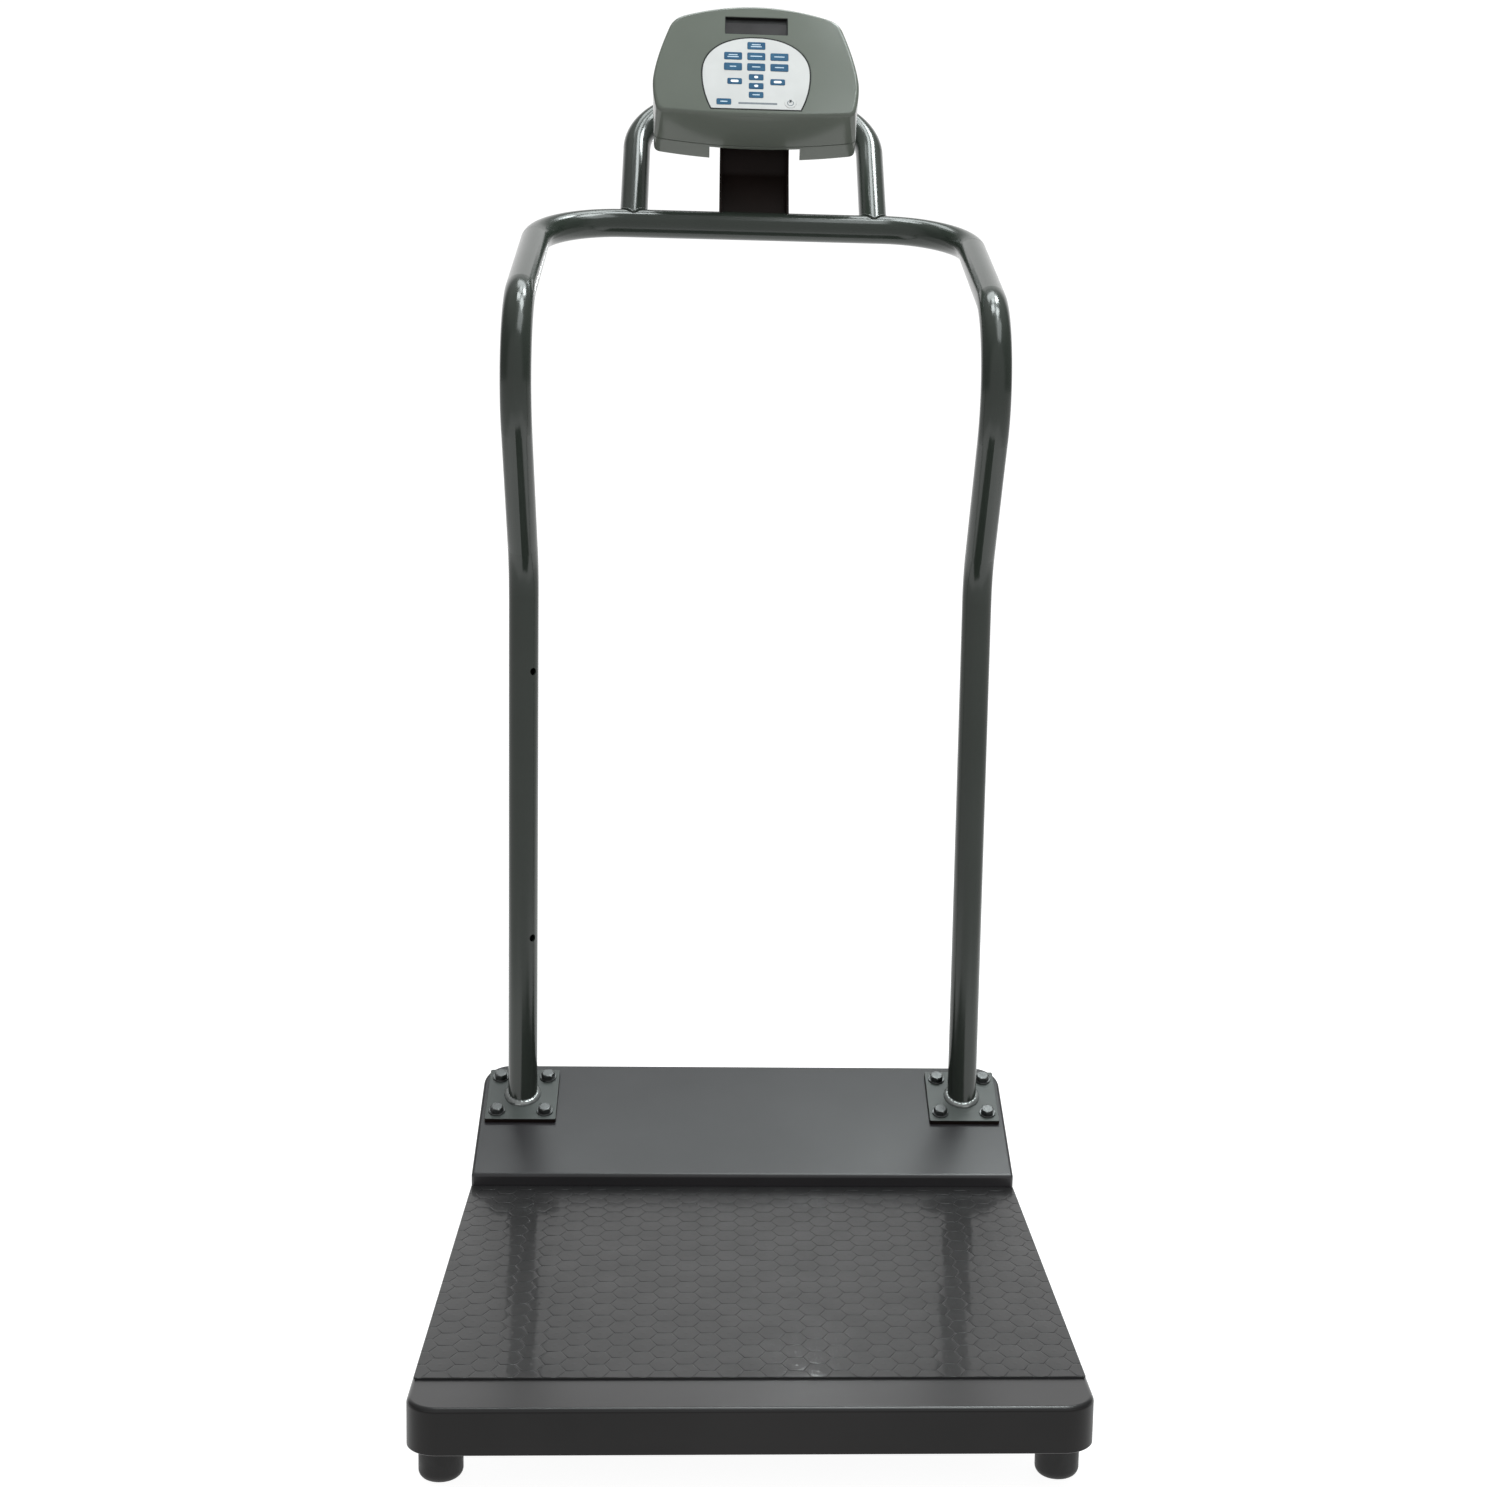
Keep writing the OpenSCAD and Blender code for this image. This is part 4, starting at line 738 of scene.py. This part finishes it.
def bracket_line(front_low, front_top, radius):
    """Points of the bracket's side view on one side of the sheet, from the crossbar to the pin."""
    mitre = (LOW_SIDE + Vector((-1, 0))).normalized()
    bend = Vector((PIVOT_BACK, BRACKET_BEND_UP))
    corner = bend + mitre * (front_low / mitre.dot(LOW_SIDE))
    start, end = LOW_SIDE * front_low, Vector((PIVOT_BACK - front_top, PIVOT_UP))
    before = corner - (corner - start).normalized() * radius
    after = corner + (end - corner).normalized() * radius
    return [tuple(start)] + [bezier(before, corner, after, i / 8) for i in range(9)] + [tuple(end)]


def strip(outline, x0, x1, edge):
    """Outline in the side view drawn out from x0 to x1, with both rims eased."""
    inward = edge if area(outline) > 0 else -edge
    rings = []
    for x, d in ((x0, inward), (x0 + edge, 0), (x1 - edge, 0), (x1, inward)):
        rings.append([(x, BAR_Y + y, BAR_Z + z) for y, z in inset_convex(outline, d)])
    return loft(rings)


def make_bracket():
    half_t = BRACKET_T / 2
    outer_r, inner_r, flange_r, edge = 7, 4, 10, 0.7
    back = bracket_line(-half_t, -half_t, outer_r)
    web = back + bracket_line(half_t, half_t, inner_r)[::-1]
    flange = back + bracket_line(BRACKET_FLANGE, KNUCKLE_R - 1, flange_r)[::-1]
    half_w = BRACKET_W / 2
    shapes = [strip(web, -half_w + 1, half_w - 1, 0.01), strip(flange, -half_w, -half_w + BRACKET_T, edge),
              strip(flange, half_w - BRACKET_T, half_w, edge)]
    turn = [(BAR_Y + PIVOT_BACK + y, BAR_Z + PIVOT_UP + z) for y, z in circle(0, 0, KNUCKLE_R)]
    shapes.append(loft([[(x, y, z) for y, z in turn] for x in (-half_w, half_w)]))
    piece("bracket_channel", join(*shapes), "base", BLACK_PAINT_AND_SHADE,
          replaces=("head_bracket",), angle=40)


make_bracket()


# Display head
def side_x(v, bottom_w):
    if v > WIDEST_V:
        t = ((v - WIDEST_V) / (HEAD_L - HEAD_CROWN - WIDEST_V)) ** SIDE_POWER
        return (HEAD_W + (HEAD_TOP_W - HEAD_W) * t) / 2
    return (HEAD_W + (bottom_w - HEAD_W) * ((WIDEST_V - v) / WIDEST_V) ** 2) / 2


def crown_v(x):
    return HEAD_L - HEAD_CROWN * (2 * x / HEAD_TOP_W) ** 2


def head_outline(bottom_w, bow):
    corner, shoulder = BOTTOM_CORNER, HEAD_L - HEAD_CROWN

    def low(x):
        return -bow * (1 - (2 * x / bottom_w) ** 2)

    bx = bottom_w / 2 - corner
    tx, tv = HEAD_TOP_W / 2 - TOP_CORNER, shoulder - TOP_CORNER
    low_corner = (bx, low(bx)), (bottom_w / 2, 0), (side_x(corner, bottom_w), corner)
    top_corner = (side_x(tv, bottom_w), tv), (side_x(shoulder, bottom_w), shoulder), (tx, crown_v(tx))
    half = [(bx * i / 16, low(bx * i / 16)) for i in range(17)]
    half += [bezier(*low_corner, i / 10) for i in range(1, 11)]
    half += [(side_x(v, bottom_w), v) for v in (corner + (tv - corner) * i / 24 for i in range(1, 25))]
    half += [bezier(*top_corner, i / 14) for i in range(1, 15)]
    half += [(tx * (1 - i / 16), crown_v(tx * (1 - i / 16))) for i in range(1, 17)]
    return half + [(-x, v) for x, v in half[-2:0:-1]]


def head_ring(w, inset=0.0):
    t = min(1, -w / FRONT_D)
    mid = HEAD_L / 2
    bottom_w = FACE_BOTTOM_W + (PARTING_BOTTOM_W - FACE_BOTTOM_W) * t
    outline = head_outline(bottom_w, FACE_BOW + (BOTTOM_BOW - FACE_BOW) * t)
    return [(x * (1 - 2 * inset / HEAD_W), mid + (v - mid) * (1 - inset / mid), w) for x, v in outline]


def overlay_outline(margin=0.0, n=96):
    """Arched top drawn as a superellipse, bowed sides, flat lower edge."""
    half_w, arch, side_r = OVERLAY_W / 2 + margin, OVERLAY_ARCH + margin, OVERLAY_SIDE_R + margin
    offset = OVERLAY_SIDE_R - OVERLAY_W / 2
    drop = OVERLAY_MID - OVERLAY_LOW + margin
    end = math.asin(drop / side_r)
    side = [(side_r * math.cos(a) - offset, OVERLAY_MID - side_r * math.sin(a))
            for a in (end * (1 - i / 16) for i in range(16))]
    top = []
    for i in range(n + 1):
        c, s = math.cos(math.pi * i / n), math.sin(math.pi * i / n)
        x = math.copysign(abs(c) ** (2 / OVERLAY_POWER), c)
        top.append((half_w * x, OVERLAY_MID + arch * abs(s) ** (2 / OVERLAY_POWER)))
    return side + top + [(-x, v) for x, v in side[::-1]]


def cutter(name, rings):
    return new_object(name, loft(rings), HEAD)


def window_ring(margin, w):
    outline = box_outline(WINDOW_W + 2 * margin, WINDOW_H + 2 * margin, WINDOW_R + margin * 0.5, 4, 0,
                          WINDOW_LOW + WINDOW_H / 2)
    return at_z(outline, w)


PARTING_GAP, PARTING_EASE, PARTING_INSET, PARTING_LIP = 0.45, 0.25, 1.2, 0.1
GLASS = -WINDOW_RECESS + 0.02
# Dark strip along the window's top: partly a print mask, partly painted shadow of the recess's top wall
SHADE_MASK_H, SHADE_MASK_MARGIN, SHADE_MASK_TOP = 6, 0.5, -WINDOW_RECESS + 0.1
# Steps of the face's openings and trims: margin round the outline, height against the face
WINDOW_STEPS = ((0, -WINDOW_RECESS - 2), (0, -0.6), (0.2, -0.2), (0.6, 0.1), (0.6, 2))
RECESS_STEPS = ((OVERLAY_GAP, -2.2), (OVERLAY_GAP, -0.3),
                (OVERLAY_GAP + 0.4, 0.1), (OVERLAY_GAP + 0.4, 2))
GASKET_STEPS = ((0.05, GLASS), (0.05, -0.75), (-0.5, -0.75), (-0.7, GLASS))
# Black ring in the gap round the overlay: painted shadow
GAP_SHADOW_STEPS = ((0.05, -0.12), (OVERLAY_GAP - 0.05, -0.12), (OVERLAY_GAP - 0.05, -0.9), (0.05, -0.9))


def make_front_shell():
    low = -FRONT_D + 2 * PARTING_GAP
    rings = [head_ring(-FRONT_D + PARTING_LIP, PARTING_INSET),
             head_ring(-FRONT_D + PARTING_GAP, PARTING_EASE), head_ring(low)]
    rings += [head_ring(low + (-FACE_EDGE_R - low) * i / 6) for i in range(1, 7)]
    for i in range(1, 9):
        a = math.pi / 16 * i
        rings.append(head_ring(-FACE_EDGE_R * (1 - math.sin(a)), FACE_EDGE_R * (1 - math.cos(a))))
    shell = new_object("head_front", loft(rings), HEAD)
    window = [window_ring(m, w) for m, w in WINDOW_STEPS]
    recess = [at_z(overlay_outline(m), w) for m, w in RECESS_STEPS]
    cut(shell, cutter("cut_window", window), cutter("cut_recess", recess))
    dress(shell, "head", SHELL, ("head_front_shell",), 30)


make_front_shell()


def make_face_trims():
    """Gasket in the window; dark strip along its top, partly a print mask and partly painted shadow;
    painted shadow as a black ring in the gap round the overlay.
    """
    rings = [window_ring(m, w) for m, w in GASKET_STEPS]
    piece("window_gasket", loft(rings + rings[:1], False, False), "head", GASKET_AND_SHADE, HEAD)
    # Dark strip along the window's top: partly a print mask, partly painted shadow of the recess's top
    # wall
    edge, top = WINDOW_W / 2 - SHADE_MASK_MARGIN, WINDOW_LOW + WINDOW_H
    shade_mask = rounded_box_outline(-edge, edge, top - SHADE_MASK_H, top - SHADE_MASK_MARGIN, (0.3, 0.3, 0.8, 0.8), 4)
    shade_mask = loft([at_z(shade_mask, GLASS), at_z(shade_mask, SHADE_MASK_TOP)])
    piece("window_mask_and_shade", shade_mask, "head", GASKET_AND_SHADE, HEAD)
    # Black ring in the gap round the overlay: painted shadow
    rings = [at_z(overlay_outline(m), w) for m, w in GAP_SHADOW_STEPS]
    piece("overlay_gap_shadow", loft(rings + rings[:1], False, False), "head", GASKET_AND_SHADE, HEAD)


make_face_trims()


OUTSIDE, NOTCH_LOW = -HEAD_D - 5, -40
TRAY_FLOOR, INLET_FLOOR = -HEAD_D + 17, -HEAD_D + 14
# Steps of a screw hole: radius, height
SCREW_HOLE = ((3.6, OUTSIDE), (3.6, -HEAD_D - 0.2), (3.1, -HEAD_D + 0.4), (3.1, -HEAD_D + 2.2))


def make_rear_shell():
    rings = []
    for i in range(9):
        a = math.pi / 16 * (8 - i)
        rings.append(head_ring(-HEAD_D + REAR_EDGE_R * (1 - math.sin(a)), REAR_EDGE_R * (1 - math.cos(a))))
    depth = REAR_D - REAR_EDGE_R - 2 * PARTING_GAP
    rings += [head_ring(-HEAD_D + REAR_EDGE_R + depth * i / 3) for i in range(1, 4)]
    rings += [head_ring(-FRONT_D - PARTING_GAP, PARTING_EASE),
              head_ring(-FRONT_D - PARTING_LIP, PARTING_INSET)]
    shell = new_object("head_rear", loft(rings), HEAD)
    notch = rounded_box_outline(-NOTCH_W / 2, NOTCH_W / 2, NOTCH_LOW, POCKET_TOP, (0.1, 2, 2, 0.1), 4)
    tray = box_outline(TRAY_W, TRAY_H, 0.6, 2, 0, DOOR_V)
    cutters = [cutter("cut_pocket", [at_z(notch, OUTSIDE), at_z(notch, POCKET_FLOOR)]),
               cutter("cut_tray", [at_z(tray, OUTSIDE), at_z(tray, TRAY_FLOOR)]),
               cutter("cut_inlet", [at_z(circle(*INLET, 48), w) for w in (OUTSIDE, INLET_FLOOR)])]
    for x, v in SCREWS:
        cutters.append(cutter("cut_screw", [at_z(circle(x, v, r), w) for r, w in SCREW_HOLE]))
    cut(shell, *cutters)
    dress(shell, "head", SHELL, ("head_rear_shell",), 30)


make_rear_shell()


# Keys, with plain printed marks
PRINT_T, KEY_CORNER_R, KEY_EDGE_R = 0.06, 1.5, 0.3
# Keys with two bars; with one bar, as a part of the key's width; with a solid sign, by its size
TWO_BARS = ("key_top", "key_row2_left")
ONE_BAR = {
    "key_row2_mid": 0.66,
    "key_row2_right": 0.58,
    "key_row3_left": 0.36,
    "key_row3_mid": 0.46,
    "key_row3_right": 0.52,
    "key_lower_mid": 0.5,
    "key_bottom_left": 0.5,
}
SIGNS = {
    "key_side_left": (9.0, 3.3),
    "key_side_right": (9.0, 3.3),
    "key_up": (4.6, 3.4),
    "key_down": (4.6, 3.4),
}
# Bars of a key that has two: shift up, part of the key's width
DOUBLE_BAR = ((1.4, 0.5), (-1.4, 0.62))
DOUBLE_BAR_H, SINGLE_BAR_H, PRINT_BAR_W, PRINT_BAR_H = 1.2, 1.3, 44, 2.6
POWER_OUTER_R, POWER_INNER_R, POWER_FROM, POWER_SWEEP, POWER_STEPS = 3.9, 2.9, 125, 290, 28


def mark(name, outline, body, material, w=KEY_TOP):
    piece(name, loft([at_z(outline, w), at_z(outline, w + PRINT_T)]), body, material, HEAD)


def capsule(cx, cy, w, h):
    return box_outline(w, h, h / 2 - 0.01, 6, cx, cy)


def make_keys():
    for name, (x, v, w, h) in KEYS.items():
        cap = soft_slab(w, h, KEY_CORNER_R, KEY_LOW, KEY_TOP, KEY_EDGE_R, x, v)
        piece(name + "_cap", cap, name, KEY_BLUE, HEAD, replaces=(name,))
    for name in TWO_BARS:
        x, v, w = KEYS[name][:3]
        for i, (up, part) in enumerate(DOUBLE_BAR):
            bar = capsule(x, v + up, w * part, DOUBLE_BAR_H)
            mark("%s_mark%d" % (name, i), bar, name, PRINT_PALE)
    for name, part in ONE_BAR.items():
        x, v, w = KEYS[name][:3]
        mark(name + "_mark0", capsule(x, v, w * part, SINGLE_BAR_H), name, PRINT_PALE)
    for name, (w, h) in SIGNS.items():
        mark(name + "_mark0", capsule(*KEYS[name][:2], w, h), name, PRINT_WHITE)
    x, v, d = POWER_KEY
    steps = ((0.01, KEY_LOW), (d / 2, KEY_LOW), (d / 2, KEY_TOP - 0.3), (d / 2 - 0.1, KEY_TOP - 0.08),
             (d / 2 - 0.3, KEY_TOP), (0.01, KEY_TOP))
    piece("key_power_cap", revolve(steps, 40, x, v), "key_power", OVERLAY, HEAD,
          replaces=("key_power",))
    turns = range(POWER_STEPS + 1)
    angles = [math.radians(POWER_FROM + POWER_SWEEP * k / POWER_STEPS) for k in turns]
    ring = [(x + POWER_OUTER_R * math.cos(a), v + POWER_OUTER_R * math.sin(a)) for a in angles]
    ring += [(x + POWER_INNER_R * math.cos(a), v + POWER_INNER_R * math.sin(a)) for a in angles[::-1]]
    mark("power_ring", ring, "key_power", PRINT_GREY)
    mark("power_bar", capsule(x, v + 2.8, 1.0, 3.6), "key_power", PRINT_GREY)
    mark("print_bar", box_outline(PRINT_BAR_W, PRINT_BAR_H, 0.3, 3, 2, 12.0), "head", PRINT_GREY, 0)


make_keys()


# Back of the head: battery door and screws
DOOR_CORNER_R, DOOR_EDGE_R = 3, 0.7
RIB_W, RIB_L, RIB_LOW, RIB_TOP = 36, 1.6, 1.8, 2.8
RIBS, RIB_PITCH, RIB_FROM, RIB_SHIFT = 5, 3, 12, 0.6
SCREW_HEAD = ((1.25, 0), (2.8, 0), (2.8, 1.1), (2.4, 1.7), (1.4, 2.0), (0.01, 2.0))
SCREW_SINK, SCREW_TURN, SLOT_L, SLOT_W = 2.2, 0.3, 3.2, 0.7


def make_back():
    door = soft_slab(DOOR_W, DOOR_H, DOOR_CORNER_R, 0, DOOR_T, DOOR_EDGE_R, 0, -DOOR_V)
    rib_v = [-(DOOR_V - RIB_FROM - RIB_PITCH * i) - RIB_SHIFT for i in range(RIBS)]
    ribs = [soft_slab(RIB_W, RIB_L, 0.7, RIB_LOW, RIB_TOP, 0.4, 0, v) for v in rib_v]
    flip = HEAD @ Matrix.Translation((0, 0, -HEAD_D)) @ Matrix.Rotation(math.pi, 4, "X")
    piece("battery_door_cover", join(door, *ribs), "battery_door", SHELL, flip,
          replaces=("battery_door",))
    places = [flip @ Matrix.Translation((x, -v, -SCREW_SINK)) for x, v in SCREWS]
    screws = new_object("screw_heads", join(*[moved(revolve(SCREW_HEAD, 28), place) for place in places]))
    for i, place in enumerate(places):
        for turn in (SCREW_TURN + i, SCREW_TURN + i + math.pi / 2):
            slot = soft_slab(SLOT_L, SLOT_W, 0.2, 0.9, 2.4, 0.1)
            cut(screws, new_object("cut_slot", slot, place @ Matrix.Rotation(turn, 4, "Z")))
    dress(screws, "head", ZINC, ("head_screws",))


make_back()


# Stage: glowing pale floor, bright backdrop and soft boxes, in metres
FLOOR_HALF, FLOOR_GREY, FLOOR_ROUGH, FLOOR_DIM, FLOOR_GLOW = 40, 0.34, 0.8, 0.45, 0.93
FLOOR_FRONT, FLOOR_SIDE, SIDE_SLOPE = (-1.3, -0.7), (1.7, 1.05), -0.40
SMOOTH, SKY_BASE = "SMOOTHSTEP", 0.2
# Each glow of the sky: axis of the direction, where it starts, where it is full, its brightness
SKY = (("Y", 0.60, 0.90, 1.08), ("Z", 0.45, 0.90, 0.5), ("Z", 0.0, -0.03, 0.5), ("Y", -0.30, -0.75, 0.6))
LAMP_TINT = (0.93, 1.0, 1.0)
# Each lamp: name, place, aim, width, height, radiance
LAMPS = (
    ("key_left", (-0.10, 0.30, 3.0), (-0.10, 0.30, 1.1), 0.50, 0.40, 12.5),
    ("key_right", (0.56, 0.10, 3.0), (0.3, 0.2, 1.1), 0.64, 0.64, 13.0),
    ("top", (0.10, 0.76, 3.0), (0.10, 0.74, 0.0), 0.36, 0.30, 9.5),
    ("top_right", (0.70, 0.93, 3.0), (0.0, 0.1, 1.0), 0.42, 0.42, 24.0),
    ("rear", (0.0, 1.22, 3.0), (0.0, 0.3, 0.2), 1.3, 0.6, 4.7),
    ("front_top", (0.75, -0.85, 3.0), (0.75, -0.85, 0.0), 1.25, 1.23, 3.6),
    ("glint", (0.175, 1.95, 1.24), (0.05, -0.5, 0.08), 0.05, 0.04, 40.0),
)


def make_world():
    """Sky by direction: backdrop behind the part, ceiling, ground, and a paler side towards the camera."""
    world = bpy.data.worlds.new("world")
    scene.world = world
    world.use_nodes = True
    tree = world.node_tree
    split = tree.nodes.new("ShaderNodeSeparateXYZ")
    tree.links.new(tree.nodes.new("ShaderNodeTexCoord").outputs["Generated"], split.inputs["Vector"])
    value = SKY_BASE
    for axis, start, end, high in SKY:
        glow = fade(tree, split.outputs[axis], start, end, SKY_BASE, high, SMOOTH)
        value = calc(tree, "MAXIMUM", value, glow)
    tree.nodes["Background"].inputs["Color"].default_value = (1, 1, 1, 1)
    tree.links.new(value, tree.nodes["Background"].inputs["Strength"])


def make_floor():
    """Floor that glows round the part and behind it, and is dimmer in front and far to the sides."""
    h = FLOOR_HALF
    mesh = bpy.data.meshes.new("floor")
    mesh.from_pydata([(-h, -h, 0), (h, -h, 0), (h, h, 0), (-h, h, 0)], [], [(0, 1, 2, 3)])
    floor = bpy.data.objects.new("floor", mesh)
    scene.collection.objects.link(floor)
    mat, tree, bsdf = shader("floor_white", (FLOOR_GREY,) * 3, FLOOR_ROUGH, emission_color=(1, 1, 1, 1))
    split = tree.nodes.new("ShaderNodeSeparateXYZ")
    tree.links.new(coords(tree), split.inputs["Vector"])
    x, y = split.outputs["X"], split.outputs["Y"]
    aside = calc(tree, "MULTIPLY_ADD", y, SIDE_SLOPE, calc(tree, "ABSOLUTE", x))
    ahead = fade(tree, y, *FLOOR_FRONT, FLOOR_DIM, FLOOR_GLOW, SMOOTH)
    beside = fade(tree, aside, *FLOOR_SIDE, FLOOR_DIM, FLOOR_GLOW, SMOOTH)
    tree.links.new(calc(tree, "MINIMUM", ahead, beside), bsdf.inputs["Emission Strength"])
    floor.data.materials.append(mat)


def make_lamp(name, place, aim, w, h, radiance):
    data = bpy.data.lights.new(name, "AREA")
    data.shape = "RECTANGLE"
    data.size, data.size_y = w, h
    data.energy = radiance * math.pi * w * h
    data.color = LAMP_TINT
    lamp = bpy.data.objects.new(name, data)
    lamp.location = place
    lamp.rotation_euler = (Vector(aim) - Vector(place)).to_track_quat("-Z", "Y").to_euler()
    scene.collection.objects.link(lamp)


def make_stage():
    scene.view_settings.view_transform = "Standard"
    make_floor()
    make_world()
    for lamp in LAMPS:
        make_lamp(*lamp)


make_stage()
